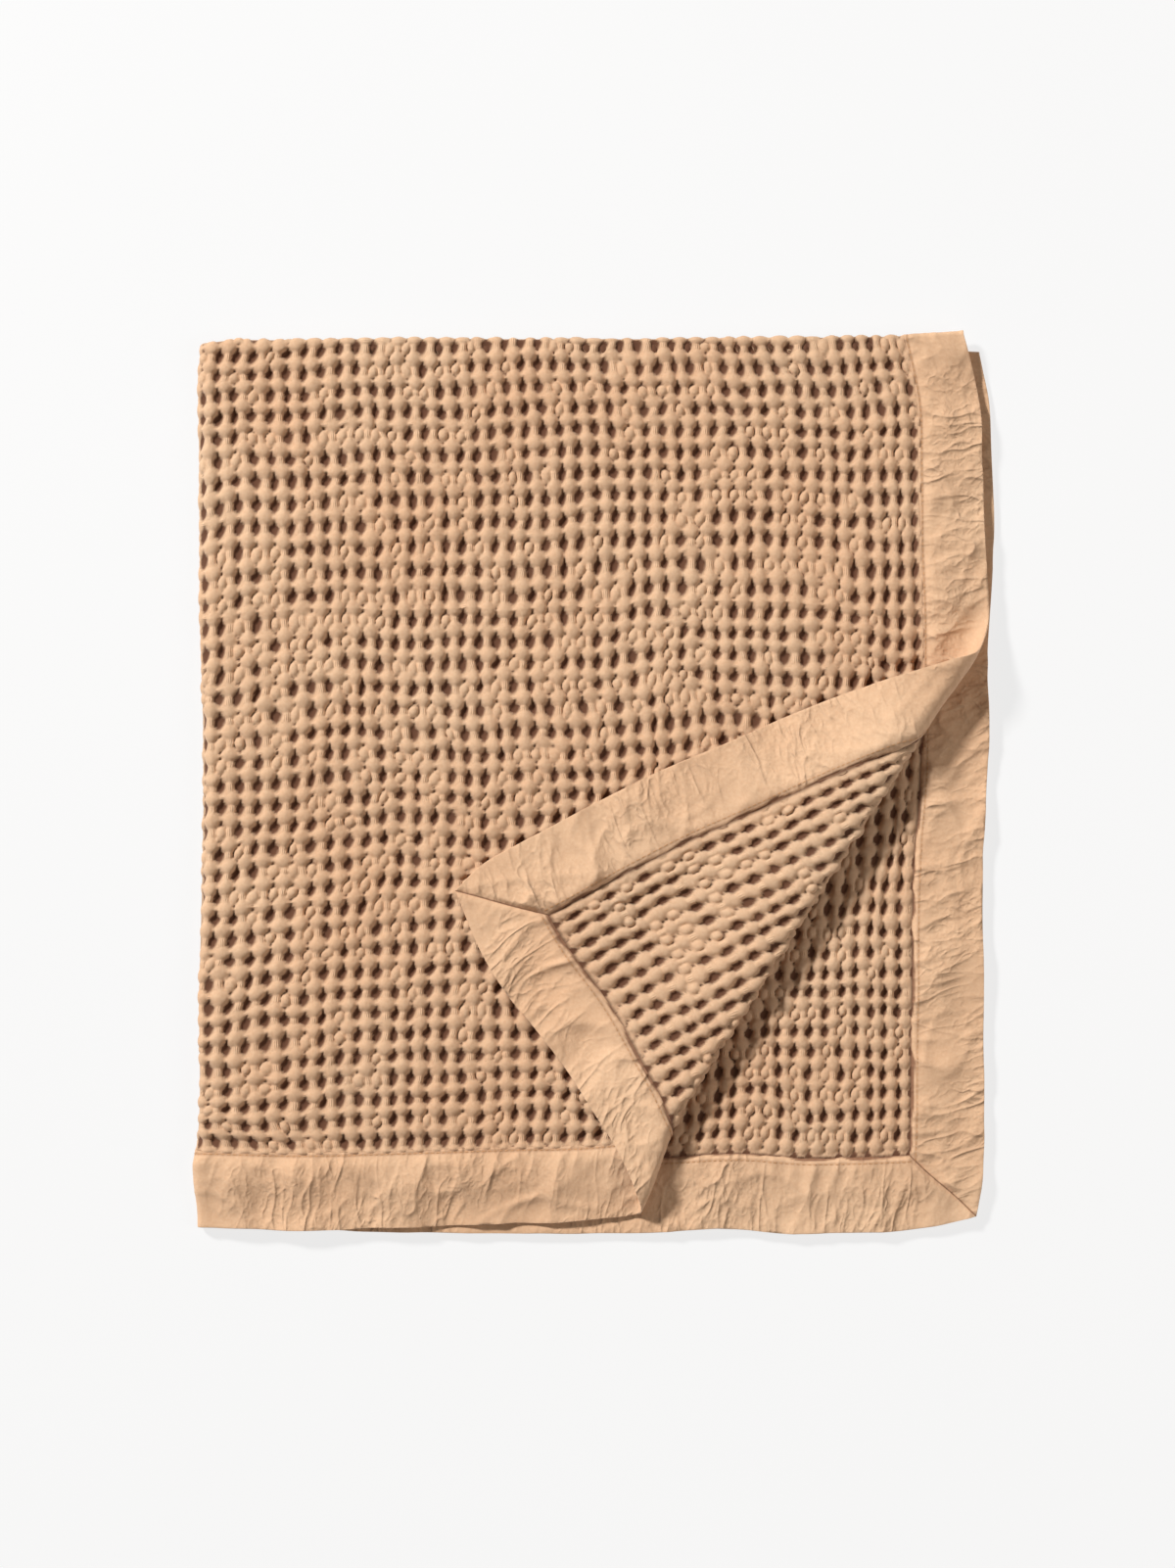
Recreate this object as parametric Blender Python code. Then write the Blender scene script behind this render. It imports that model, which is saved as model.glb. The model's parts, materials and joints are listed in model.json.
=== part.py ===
"""Waffle weave cotton throw, folded in quarters and lying flat.

The throw is one waffle weave panel with a wide plain weave border strip
mitred round it.  It is folded over a crease at the top (v = 0) and over a
crease at the left (u = 0), which makes four layers: layer 1 on top down to
layer 4 on the floor.  The free corner of layer 1 is turned back to the upper
left over a soft roll.  Every piece is drawn flat in (u, v) and laid down by
one map, so the layers nest and the pieces meet along their seams.

Frame: X right, Y towards the top crease, Z up, floor at z = 0.
"""

import math

import bmesh
import bpy
import numpy as np

# Flat cloth, metres.
HALF_WIDTH = 0.646
HALF_LENGTH = 0.729
BORDER = 0.062
PANEL_U = HALF_WIDTH - BORDER
PANEL_V = HALF_LENGTH - BORDER
SEAM_GAP = 0.0012

# Thickness of the cloths and how far apart the folded layers lie.
PANEL_THICK = 0.0040
BORDER_THICK = 0.0016
PANEL_PITCH = 0.0050
BORDER_PITCH = 0.0028
SEAM_LIFT = (PANEL_THICK - BORDER_THICK) / 2
SEAM_LIFT_RUN = 0.026

# Cloth used on either side of a crease line to go round it.
LEFT_TAKE_UP = math.pi * 1.5 * PANEL_PITCH / 2
TOP_TAKE_UP = math.pi * 0.5 * PANEL_PITCH / 2

# Beyond these lines every layer is thin border and the stack sinks.
DRAPE_X = 0.272
DRAPE_Y = -0.310
DRAPE_RUN = 0.046

# Edges of the folded layers: fraction along the edge, x mm, y mm.
LEFT_EDGE = (
    (0.00, -315, 358), (0.03, -317, 337), (0.08, -317, 301),
    (0.30, -315, 142), (0.45, -313, 33), (0.60, -314, -75),
    (0.75, -316, -182), (0.88, -317, -276), (0.93, -320, -313),
    (1.00, -320, -363),
)
TOP_EDGE_12 = (
    (0.00, -315, 358), (0.03, -297, 360), (0.08, -266, 360),
    (0.30, -127, 361), (0.50, 0, 361), (0.70, 126, 362),
    (0.85, 222, 363), (0.92, 264, 364), (1.00, 301, 367),
)
TOP_EDGE_34 = (
    (0.00, -315, 358), (0.03, -297, 359), (0.08, -266, 359),
    (0.30, -127, 359), (0.50, 0, 358), (0.70, 127, 357),
    (0.85, 224, 355), (1.00, 315, 352),
)
RIGHT_EDGE_1 = (
    (0.00, 301, 367), (0.06, 313, 320), (0.15, 317, 256),
    (0.24, 319, 192), (0.30, 322, 144), (0.38, 324, 88),
    (0.49, 333, 4), (0.58, 336, -58), (0.66, 336, -115),
    (0.75, 337, -182), (0.80, 335, -223), (0.88, 331, -278),
    (0.96, 325, -341), (1.00, 315, -367),
)
RIGHT_EDGE_2 = (
    (0.00, 301, 367), (0.10, 311, 296), (0.25, 316, 188),
    (0.40, 322, 80), (0.49, 322, 16), (0.58, 318, -48),
    (0.64, 317, -96), (0.73, 318, -160), (0.80, 318, -208),
    (0.93, 318, -304), (0.97, 316, -332), (1.00, 312, -354),
)
RIGHT_EDGE_34 = (
    (0.00, 315, 352), (0.045, 322, 320), (0.11, 325, 272),
    (0.20, 327, 208), (0.29, 324, 144), (0.40, 319, 67),
    (0.60, 314, -72), (0.80, 314, -211), (0.95, 313, -316),
    (1.00, 308, -350),
)
BOTTOM_EDGE_1 = (
    (0.00, -320, -363), (0.11, -246, -365), (0.24, -166, -363),
    (0.365, -86, -360), (0.49, -6, -357), (0.56, 37, -351),
    (0.595, 58, -345), (0.635, 83, -342), (0.69, 117, -344),
    (0.77, 168, -350),
    (0.85, 221, -363), (0.92, 263, -368), (1.00, 315, -367),
)
BOTTOM_EDGE_2 = (
    (0.00, -320, -363), (0.25, -162, -367), (0.40, -68, -368),
    (0.57, 42, -368), (0.70, 122, -365), (0.75, 154, -368),
    (0.83, 205, -368), (0.93, 268, -364), (1.00, 312, -354),
)
BOTTOM_EDGE_34 = (
    (0.00, -320, -363), (0.25, -166, -364), (0.60, 54, -364),
    (0.85, 210, -363), (1.00, 308, -350),
)
EDGES = {
    1: (LEFT_EDGE, RIGHT_EDGE_1, TOP_EDGE_12, BOTTOM_EDGE_1),
    2: (LEFT_EDGE, RIGHT_EDGE_2, TOP_EDGE_12, BOTTOM_EDGE_2),
    3: (LEFT_EDGE, RIGHT_EDGE_34, TOP_EDGE_34, BOTTOM_EDGE_34),
    4: (LEFT_EDGE, RIGHT_EDGE_34, TOP_EDGE_34, BOTTOM_EDGE_34),
}

# Gather wrinkles of the borders: layer, height mm, wave mm, phase.
WRINKLES = ((1, 2.2, 71, 0.4), (2, 1.8, 66, 2.1), (3, 0.8, 90, 4.0))
FLAP_WRINKLE = (0.0026, 0.068, 1.2)
# Soft swells of the panel layers: layer, height mm, wave mm, heading deg.
SWELLS = ((1, 1.0, 260, 70), (2, 0.8, 310, 20), (3, 0.6, 280, 120))

# Turned-back corner: turning line and the bend at its foot, roll radii at
# its two ends, run of the slope by which the flap comes down from the roll.
ROLL_FOOT = (0.0112, -0.3636)
ROLL_HEAD = (0.3176, 0.1060)
FOOT_BEND = 0.017
FOOT_RUN = 0.130
FOOT_V = -0.600
ROLL_RADIUS_FOOT = 0.006
ROLL_RADIUS_HEAD = 0.014
ROLL_FALL = 0.100

# Grid step of the flat panel, and how many border steps share one of them
# where the strips are wrinkled.
PANEL_STEP = 0.049
FINE_PARTS = 3
STRIP_CELLS = 4
MITRE_PARTS = 6
LEFT_TURNS = 6
TOP_TURNS = 4
ROLL_ANGLES = (-20, 10, 40, 70, 100, 130, 160, 190)
FALL_STEPS = (0.025, 0.055, 0.095)

COLOURS = {
    "waffle": (0.52, 0.33, 0.20, 1.0),
    "border": (0.60, 0.38, 0.24, 1.0),
}


def smooth(value):
    """Ease from 0 to 1 as value goes from 0 to 1."""
    part = np.clip(value, 0.0, 1.0)
    return part * part * (3.0 - 2.0 * part)


def edge_point(edge, fraction):
    """Point on a table edge, by a cubic through its rows."""
    rows = np.array(edge, dtype=float)
    knots = rows[:, 0]
    points = rows[:, 1:] / 1000.0
    slopes = np.gradient(points, knots, axis=0)
    index = np.clip(np.searchsorted(knots, fraction, "right") - 1, 0, len(knots) - 2)
    span = (knots[index + 1] - knots[index])[..., None]
    part = (fraction - knots[index])[..., None] / span
    ease = part * part * (3.0 - 2.0 * part)
    start = part * (1.0 - part) ** 2 * span * slopes[index]
    end = part * part * (part - 1.0) * span * slopes[index + 1]
    return points[index] * (1.0 - ease) + points[index + 1] * ease + start + end


def layer_point(layer, across, down):
    """Place of a layer's point in plan, spread between its four edges."""
    left, right, top, bottom = EDGES[layer]
    zero = np.zeros_like(across)
    one = np.ones_like(across)
    s = across[..., None]
    t = down[..., None]
    sides = (1 - s) * edge_point(left, down) + s * edge_point(right, down)
    ends = (1 - t) * edge_point(top, across) + t * edge_point(bottom, across)
    corners = (1 - s) * (1 - t) * edge_point(left, zero)
    corners = corners + s * (1 - t) * edge_point(right, zero)
    corners = corners + (1 - s) * t * edge_point(left, one)
    corners = corners + s * t * edge_point(right, one)
    return sides + ends - corners


def ridges(along, wave, phase):
    """Uneven soft ridges, 0 to 1."""
    turn = 2.0 * math.pi * along / wave + phase
    return (0.5 + 0.5 * np.cos(turn + 1.1 * np.sin(turn / 2.7 + phase))) ** 1.3


def rise(layer, x, y):
    """How far a layer lifts off the one below it by its own creases."""
    total = np.zeros_like(x)
    for number, height, wave, phase in WRINKLES:
        if number == layer:
            side = smooth((x - DRAPE_X + 0.004) / 0.026)
            end = smooth((DRAPE_Y + 0.004 - y) / 0.026)
            side = side * ridges(y, wave / 1000.0, phase)
            end = end * ridges(x, wave / 1000.0, phase + 1.0)
            total = total + height / 1000.0 * np.maximum(side, end)
    for number, height, wave, heading in SWELLS:
        if number == layer:
            angle = math.radians(heading)
            along = x * math.cos(angle) + y * math.sin(angle)
            swell = 0.5 + 0.5 * np.cos(2.0 * math.pi * along / wave * 1000.0)
            total = total + height / 1000.0 * swell
    return total


def layer_bed(layer, x, y):
    """Height of the underside of a layer's lowest cloth."""
    beyond = np.hypot(np.maximum(x - DRAPE_X, 0), np.maximum(DRAPE_Y - y, 0))
    full = 1.0 - smooth(beyond / DRAPE_RUN)
    pitch = BORDER_PITCH + (PANEL_PITCH - BORDER_PITCH) * full
    bed = (4 - layer) * pitch
    for below in range(max(layer, 1), 4):
        bed = bed + rise(below, x, y)
    return bed


def foot_bend(along):
    """How far the turning line swings out near its foot."""
    return FOOT_BEND * (1.0 - smooth(along / FOOT_RUN))


def roll_frame(x, y):
    """Distance past the turning line, its normal and the roll radius."""
    foot = np.array(ROLL_FOOT)
    line = np.array(ROLL_HEAD) - foot
    length = float(np.hypot(*line))
    line = line / length
    normal = np.array((line[1], -line[0]))
    along = (x - foot[0]) * line[0] + (y - foot[1]) * line[1]
    past = (x - foot[0]) * normal[0] + (y - foot[1]) * normal[1] - foot_bend(along)
    part = np.clip(along / length, 0.0, 1.0)
    radius = ROLL_RADIUS_FOOT + (ROLL_RADIUS_HEAD - ROLL_RADIUS_FOOT) * part
    return past, normal, radius


def flap_rise(u, v):
    """Wrinkle height of the turned-back border strips."""
    height, wave, phase = FLAP_WRINKLE
    side = smooth((np.abs(u) - PANEL_U) / 0.026) * ridges(v, wave, phase)
    end = smooth((np.abs(v) - PANEL_V) / 0.026) * ridges(u, wave, phase + 2.0)
    return height * np.maximum(side, end)


def lay_down(u, v, offset, thick, lift):
    """Folded place of the flat point (u, v).

    offset is measured from the middle of the cloth towards the outside of
    the folded stack, thick is the cloth's thickness, and lift is how far
    its middle rises to meet the panel at the seam.
    """
    turn = np.clip(0.5 * math.pi * (1.0 + u / LEFT_TAKE_UP), 0.0, math.pi)
    bend = np.clip(0.5 * math.pi * (1.0 + v / TOP_TAKE_UP), 0.0, math.pi)
    across = np.clip((np.abs(u) - LEFT_TAKE_UP) / (HALF_WIDTH - LEFT_TAKE_UP), 0, 1)
    down = np.clip((np.abs(v) - TOP_TAKE_UP) / (HALF_LENGTH - TOP_TAKE_UP), 0, 1)
    layer = np.where(u < 0, np.where(v < 0, 1, 2), np.where(v < 0, 4, 3))
    plan = np.zeros(u.shape + (2,))
    for number in (1, 2, 3, 4):
        chosen = layer == number
        plan[chosen] = layer_point(number, across[chosen], down[chosen])
    x = plan[..., 0]
    y = plan[..., 1]

    past, normal, radius = roll_frame(x, y)
    arc = past + 0.5 * math.pi * radius
    turned = (layer == 1) & (arc > 0)
    back = np.where(turned, arc, 0.0)
    base_x = x - back * normal[0]
    base_y = y - back * normal[1]

    middle = thick / 2 + lift
    heights = [layer_bed(k, base_x, base_y) + middle for k in (1, 2, 3, 4)]
    upper = (heights[0] + heights[1]) / 2
    lower = (heights[2] + heights[3]) / 2
    half_12 = (heights[0] - heights[1]) / 2
    half_34 = (heights[2] - heights[3]) / 2
    share = (1.0 + np.cos(turn)) / 2
    half = half_12 * share + half_34 * (1.0 - share) + offset
    reach = (upper - lower) / 2 + half * np.cos(bend)
    z = (upper + lower) / 2 + reach * np.cos(turn)
    x = x - reach * np.sin(turn)
    y = y + half * np.sin(bend)

    angle = np.clip(back / radius, 0.0, math.pi)
    own = flap_rise(u, v) * smooth(back / radius / 2.0)
    out = offset - own
    beyond = np.maximum(back - math.pi * radius, 0.0)
    shift = (radius - out) * np.sin(angle) - beyond
    flap_x = base_x + shift * normal[0]
    flap_y = base_y + shift * normal[1]
    rolled = heights[0] + radius * (1.0 - np.cos(angle))
    rest = layer_bed(0, flap_x, flap_y) + middle
    settle = smooth(beyond / ROLL_FALL)
    rolled = rolled * (1.0 - settle) + rest * settle
    flap_z = rolled + out * np.cos(angle)
    x = np.where(turned, flap_x, x)
    y = np.where(turned, flap_y, y)
    z = np.where(turned, flap_z, z)
    return np.stack((x, y, z), axis=-1)


def flat_from_plan(x, y):
    """Flat (u, v) in layer 1 whose unturned place in plan is (x, y)."""
    across = np.array([0.5])
    down = np.array([0.5])
    for _ in range(30):
        point = layer_point(1, across, down)[0]
        across = across + (x - point[0]) / 0.64
        down = down - (y - point[1]) / 0.73
    u = -(LEFT_TAKE_UP + across[0] * (HALF_WIDTH - LEFT_TAKE_UP))
    v = -(TOP_TAKE_UP + down[0] * (HALF_LENGTH - TOP_TAKE_UP))
    return np.array((u, v))


def roll_cuts(start, stop):
    """Lines across the flat cloth at steps round the roll and down its fall.

    start and stop are how far along the turning line they are fitted.
    """
    foot = np.array(ROLL_FOOT)
    head = np.array(ROLL_HEAD)
    length = float(np.hypot(*(head - foot)))
    line = (head - foot) / length
    normal = np.array((line[1], -line[0]))
    turns = [(math.radians(angle) - 0.5 * math.pi, 0.0) for angle in ROLL_ANGLES]
    turns = turns + [(0.5 * math.pi, fall) for fall in FALL_STEPS]
    cuts = []
    for turn, fall in turns:
        ends = []
        for along in (start, stop):
            grow = (ROLL_RADIUS_HEAD - ROLL_RADIUS_FOOT) * along / length
            past = turn * (ROLL_RADIUS_FOOT + grow) + fall + float(foot_bend(along))
            ends.append(flat_from_plan(*(foot + line * along + normal * past)))
        way = (ends[1] - ends[0]) / np.hypot(*(ends[1] - ends[0]))
        cuts.append((ends[0], np.array((-way[1], way[0]))))
    return cuts


def panel_stations(edge, take_up, turns):
    """Stations across the whole panel, closer round the crease at zero."""
    count = int(round((edge - take_up) / PANEL_STEP))
    around = list(np.linspace(-take_up, take_up, turns + 1))
    outside = list(np.linspace(take_up, edge, count + 1))[1:]
    return [-far for far in reversed(outside)] + around + outside


def refined(stations, take_up, low_parts, high_parts):
    """The stations with each step beyond the crease cut into parts."""
    closer = [stations[0]]
    for before, after in zip(stations[:-1], stations[1:]):
        parts = 1
        if after <= -take_up + 1e-9:
            parts = low_parts
        if before >= take_up - 1e-9:
            parts = high_parts
        closer.extend(np.linspace(before, after, parts + 1)[1:])
    return closer


def strip_grid(edge, take_up, turns, low_parts, high_parts):
    """Points of a strip, as (along, out) rows from the seam to the hem.

    Past the last panel station each row runs on to its own end on the
    mitre, so the ends are cut on the slant.
    """
    stations = panel_stations(edge, take_up, turns)
    middle = refined(stations, take_up, low_parts, high_parts)
    last = stations[-2]
    middle = [at for at in middle if abs(at) <= last + 1e-9]
    rows = []
    for out in np.linspace(SEAM_GAP / 2, BORDER, STRIP_CELLS + 1):
        end = edge + out - SEAM_GAP * math.sqrt(0.5)
        tail = list(np.linspace(last, end, MITRE_PARTS + 1))[1:]
        low_tail = [-at for at in reversed(tail)]
        rows.append([(along, out) for along in low_tail + middle + tail])
    return rows


def split_rim(mesh):
    """Give the panel's rim the closer stations of the strips beside it."""
    rim = []
    for edge in mesh.edges:
        first, second = (w.co for w in edge.verts)
        upper_layers = max(first.x, second.x) < 1e-9
        if edge.is_boundary and upper_layers and (first - second).length > 0.02:
            rim.append(edge)
    bmesh.ops.subdivide_edges(mesh, edges=rim, cuts=FINE_PARTS - 1)


def cut_along_roll(mesh, cuts, low, high):
    """Cut the faces between two heights of the turned-back quarter."""
    for point, across in cuts:
        faces = [f for f in mesh.faces if low < f.calc_center_median().y < high]
        faces = [f for f in faces if max(w.co.x for w in f.verts) < -0.05]
        edges = {e for f in faces for e in f.edges}
        verts = {w for f in faces for w in f.verts}
        bmesh.ops.bisect_plane(
            mesh, geom=list(verts) + list(edges) + faces, dist=0.0008,
            plane_co=(*point, 0.0), plane_no=(*across, 0.0),
        )


def flat_piece(grid, closer_rim=False):
    """Flat triangle mesh over a grid: its points, triangles and rim.

    The roll cuts only add points in the quarter that is turned back.
    """
    mesh = bmesh.new()
    rows = [[mesh.verts.new((u, v, 0.0)) for u, v in row] for row in grid]
    for low, high in zip(rows[:-1], rows[1:]):
        for i in range(len(low) - 1):
            mesh.faces.new((low[i], low[i + 1], high[i + 1], high[i]))
    if closer_rim:
        split_rim(mesh)
    cut_along_roll(mesh, roll_cuts(0.02, 0.12), -HALF_LENGTH, FOOT_V)
    cut_along_roll(mesh, roll_cuts(0.15, 0.52), FOOT_V, -0.05)
    bmesh.ops.remove_doubles(mesh, verts=mesh.verts[:], dist=0.0007)
    bmesh.ops.triangulate(mesh, faces=mesh.faces[:])
    mesh.verts.index_update()
    points = np.array([w.co[:2] for w in mesh.verts])
    triangles = [tuple(w.index for w in f.verts) for f in mesh.faces]
    rim = [tuple(w.index for w in e.verts) for e in mesh.edges if e.is_boundary]
    mesh.free()
    return points, triangles, rim


def folded_solid(name, flat, thick, is_border, colour):
    """Closed solid of one cloth piece laid down in its folds."""
    points, triangles, rim = flat
    u = points[:, 0]
    v = points[:, 1]
    past_seam = np.maximum(np.abs(u) - PANEL_U, np.abs(v) - PANEL_V)
    lift = np.zeros_like(u)
    if is_border:
        lift = SEAM_LIFT * (1.0 - smooth(past_seam / SEAM_LIFT_RUN))
    outer = lay_down(u, v, thick / 2, thick, lift)
    inner = lay_down(u, v, -thick / 2, thick, lift)

    mesh = bmesh.new()
    top = [mesh.verts.new(tuple(p)) for p in outer]
    low = [mesh.verts.new(tuple(p)) for p in inner]
    for a, b, c in triangles:
        mesh.faces.new((top[a], top[b], top[c]))
        mesh.faces.new((low[c], low[b], low[a]))
    for a, b in rim:
        mesh.faces.new((top[a], top[b], low[b]))
        mesh.faces.new((top[a], low[b], low[a]))
    bmesh.ops.recalc_face_normals(mesh, faces=mesh.faces[:])
    data = bpy.data.meshes.new(name)
    mesh.to_mesh(data)
    mesh.free()
    item = bpy.data.objects.new(name, data)
    bpy.context.scene.collection.objects.link(item)
    item.data.materials.append(cloth_material(name, colour))
    return item


def cloth_material(name, colour):
    """Plain matt cloth finish."""
    material = bpy.data.materials.new(name + "_cloth")
    material.use_nodes = True
    shader = material.node_tree.nodes["Principled BSDF"]
    shader.inputs["Base Color"].default_value = COLOURS[colour]
    shader.inputs["Roughness"].default_value = 0.9
    return material


def waffle_panel():
    """The waffle weave middle, through all four layers and the flap."""
    us = panel_stations(PANEL_U - SEAM_GAP / 2, LEFT_TAKE_UP, LEFT_TURNS)
    vs = panel_stations(PANEL_V - SEAM_GAP / 2, TOP_TAKE_UP, TOP_TURNS)
    grid = [[(u, v) for u in us] for v in vs]
    flat = flat_piece(grid, closer_rim=True)
    return folded_solid("waffle_panel", flat, PANEL_THICK, False, "waffle")


def side_border(name, side, parts):
    """Border strip along one long side, over the top crease."""
    rows = strip_grid(PANEL_V, TOP_TAKE_UP, TOP_TURNS, parts, parts)
    grid = [[(side * (PANEL_U + out), along) for along, out in row] for row in rows]
    return folded_solid(name, flat_piece(grid), BORDER_THICK, True, "border")


def end_border(name, end):
    """Border strip along one end, round the left crease."""
    rows = strip_grid(PANEL_U, LEFT_TAKE_UP, LEFT_TURNS, FINE_PARTS, 1)
    grid = [[(along, end * (PANEL_V + out)) for along, out in row] for row in rows]
    return folded_solid(name, flat_piece(grid), BORDER_THICK, True, "border")


def build():
    """Make the throw's five cloth pieces."""
    for item in list(bpy.data.objects):
        bpy.data.objects.remove(item, do_unlink=True)
    waffle_panel()
    side_border("side_border_upper", -1.0, FINE_PARTS)
    side_border("side_border_lower", 1.0, 1)
    end_border("end_border_outer", -1.0)
    end_border("end_border_inner", 1.0)


build()
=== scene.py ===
"""Looks of the folded waffle weave throw.

The cloth is drawn flat in (u, v), dressed with its weave, wrinkles and
stitches, and then laid down by the same folds as the CAD solids: a crease at
the top (v = 0), a crease at the left (u = 0), and the free corner of the top
layer turned back over a soft roll.  Layer 1 is on top, layer 4 on the floor.
All sizes are in metres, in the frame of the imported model.
"""

import json
import logging
import math
from dataclasses import dataclass
from enum import Enum
from functools import partial
from typing import Callable, Sequence

import bpy
import numpy as np
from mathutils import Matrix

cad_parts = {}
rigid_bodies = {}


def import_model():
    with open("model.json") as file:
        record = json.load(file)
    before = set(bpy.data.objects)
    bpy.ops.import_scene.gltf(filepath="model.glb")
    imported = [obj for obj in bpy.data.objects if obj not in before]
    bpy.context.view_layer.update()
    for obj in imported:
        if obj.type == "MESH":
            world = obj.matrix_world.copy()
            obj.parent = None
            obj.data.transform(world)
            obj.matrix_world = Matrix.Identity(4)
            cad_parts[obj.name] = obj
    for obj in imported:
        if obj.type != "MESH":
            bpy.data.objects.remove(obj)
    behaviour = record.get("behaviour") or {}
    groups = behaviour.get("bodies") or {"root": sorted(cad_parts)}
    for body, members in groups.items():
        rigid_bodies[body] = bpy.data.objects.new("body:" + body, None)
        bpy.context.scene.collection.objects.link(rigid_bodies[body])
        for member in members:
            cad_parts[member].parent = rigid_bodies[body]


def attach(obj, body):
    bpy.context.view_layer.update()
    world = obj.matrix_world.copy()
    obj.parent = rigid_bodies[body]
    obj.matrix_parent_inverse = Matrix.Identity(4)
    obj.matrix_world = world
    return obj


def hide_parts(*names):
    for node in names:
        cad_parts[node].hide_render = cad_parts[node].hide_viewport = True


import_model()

LOG = logging.getLogger("throw")
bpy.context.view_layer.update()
Array = np.ndarray
Colour = tuple[float, float, float, float]

# Edges of the folded layers: fraction along the edge, x mm, y mm.
LEFT_EDGE = (
    (0.00, -315, 358), (0.03, -317, 337), (0.08, -317, 301),
    (0.30, -315, 142), (0.45, -313, 33), (0.60, -314, -75),
    (0.75, -316, -182), (0.88, -317, -276), (0.93, -320, -313),
    (1.00, -320, -363),
)
TOP_EDGE_12 = (
    (0.00, -315, 358), (0.03, -297, 360), (0.08, -266, 360),
    (0.30, -127, 361), (0.50, 0, 361), (0.70, 126, 362),
    (0.85, 222, 363), (0.92, 264, 364), (1.00, 301, 367),
)
TOP_EDGE_34 = (
    (0.00, -315, 358), (0.03, -297, 359), (0.08, -266, 359),
    (0.30, -127, 359), (0.50, 0, 358), (0.70, 127, 357),
    (0.85, 224, 355), (1.00, 315, 352),
)
RIGHT_EDGE_1 = (
    (0.00, 301, 367), (0.06, 313, 320), (0.15, 317, 256),
    (0.24, 319, 192), (0.30, 322, 144), (0.38, 324, 88),
    (0.49, 333, 4), (0.58, 336, -58), (0.66, 336, -115),
    (0.75, 337, -182), (0.80, 335, -223), (0.88, 331, -278),
    (0.96, 325, -341), (1.00, 315, -367),
)
RIGHT_EDGE_2 = (
    (0.00, 301, 367), (0.10, 311, 296), (0.25, 316, 188),
    (0.40, 322, 80), (0.49, 322, 16), (0.58, 318, -48),
    (0.64, 317, -96), (0.73, 318, -160), (0.80, 318, -208),
    (0.93, 318, -304), (0.97, 316, -332), (1.00, 312, -354),
)
RIGHT_EDGE_34 = (
    (0.00, 315, 352), (0.045, 322, 320), (0.11, 325, 272),
    (0.20, 327, 208), (0.29, 324, 144), (0.40, 319, 67),
    (0.60, 314, -72), (0.80, 314, -211), (0.95, 313, -316),
    (1.00, 308, -350),
)
BOTTOM_EDGE_1 = (
    (0.00, -320, -363), (0.11, -246, -365), (0.24, -166, -363),
    (0.365, -86, -360), (0.49, -6, -357), (0.56, 37, -351),
    (0.595, 58, -345), (0.635, 83, -342), (0.69, 117, -344),
    (0.77, 168, -350), (0.85, 221, -363), (0.92, 263, -368),
    (1.00, 315, -367),
)
BOTTOM_EDGE_2 = (
    (0.00, -320, -363), (0.25, -162, -367), (0.40, -68, -368),
    (0.57, 42, -368), (0.70, 122, -365), (0.75, 154, -368),
    (0.83, 205, -368), (0.93, 268, -364), (1.00, 312, -354),
)
BOTTOM_EDGE_34 = (
    (0.00, -320, -363), (0.25, -166, -364), (0.60, 54, -364),
    (0.85, 210, -363), (1.00, 308, -350),
)
EDGES = {
    1: (LEFT_EDGE, RIGHT_EDGE_1, TOP_EDGE_12, BOTTOM_EDGE_1),
    2: (LEFT_EDGE, RIGHT_EDGE_2, TOP_EDGE_12, BOTTOM_EDGE_2),
    3: (LEFT_EDGE, RIGHT_EDGE_34, TOP_EDGE_34, BOTTOM_EDGE_34),
    4: (LEFT_EDGE, RIGHT_EDGE_34, TOP_EDGE_34, BOTTOM_EDGE_34),
}
# Gather wrinkles of the borders, by layer: height, wave, phase.
WRINKLES = {1: (0.0022, 0.071, 0.4), 2: (0.0018, 0.066, 2.1), 3: (0.0008, 0.090, 4.0)}
# Soft swells of the panel, by layer: height, wave, heading in degrees.
SWELLS = {1: (0.0010, 0.260, 70), 2: (0.0008, 0.310, 20), 3: (0.0006, 0.280, 120)}
# Closeness of the weave from crease to seam: fraction, share of the mean pitch.
TOP_COLUMNS = (
    (0.00, 1.06), (0.15, 1.05), (0.27, 0.98), (0.45, 0.99),
    (0.60, 1.02), (0.80, 1.01), (0.92, 0.95), (1.00, 0.88),
)
TOP_ROWS = (
    (0.00, 0.92), (0.09, 0.97), (0.24, 1.08), (0.38, 1.02),
    (0.55, 0.99), (0.80, 0.97), (1.00, 0.93),
)
SECOND_COLUMNS = ((0.00, 1.06), (0.55, 1.05), (0.80, 0.92), (1.00, 0.83))
SECOND_ROWS = ((0.00, 1.05), (0.50, 1.03), (0.75, 0.93), (1.00, 0.90))
# Slow sway of the weave: axis (0 for u), height, wave over u, wave over v, phase.
SWAYS = (
    (0, 0.0010, math.inf, 0.27, 0.3), (0, 0.0005, 0.13, 0.19, 0.0),
    (1, 0.0016, 0.31, -0.90, 0.2), (1, 0.0010, 0.14, -0.31, 0.1),
)


class Face(Enum):
    """Side of the cloth, by where it lies in the folded stack."""

    OUTER = 1.0
    INNER = -1.0


def smooth(value: Array) -> Array:
    """Ease from 0 to 1 as value goes from 0 to 1."""
    part = np.clip(value, 0.0, 1.0)
    return part * part * (3.0 - 2.0 * part)


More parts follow.
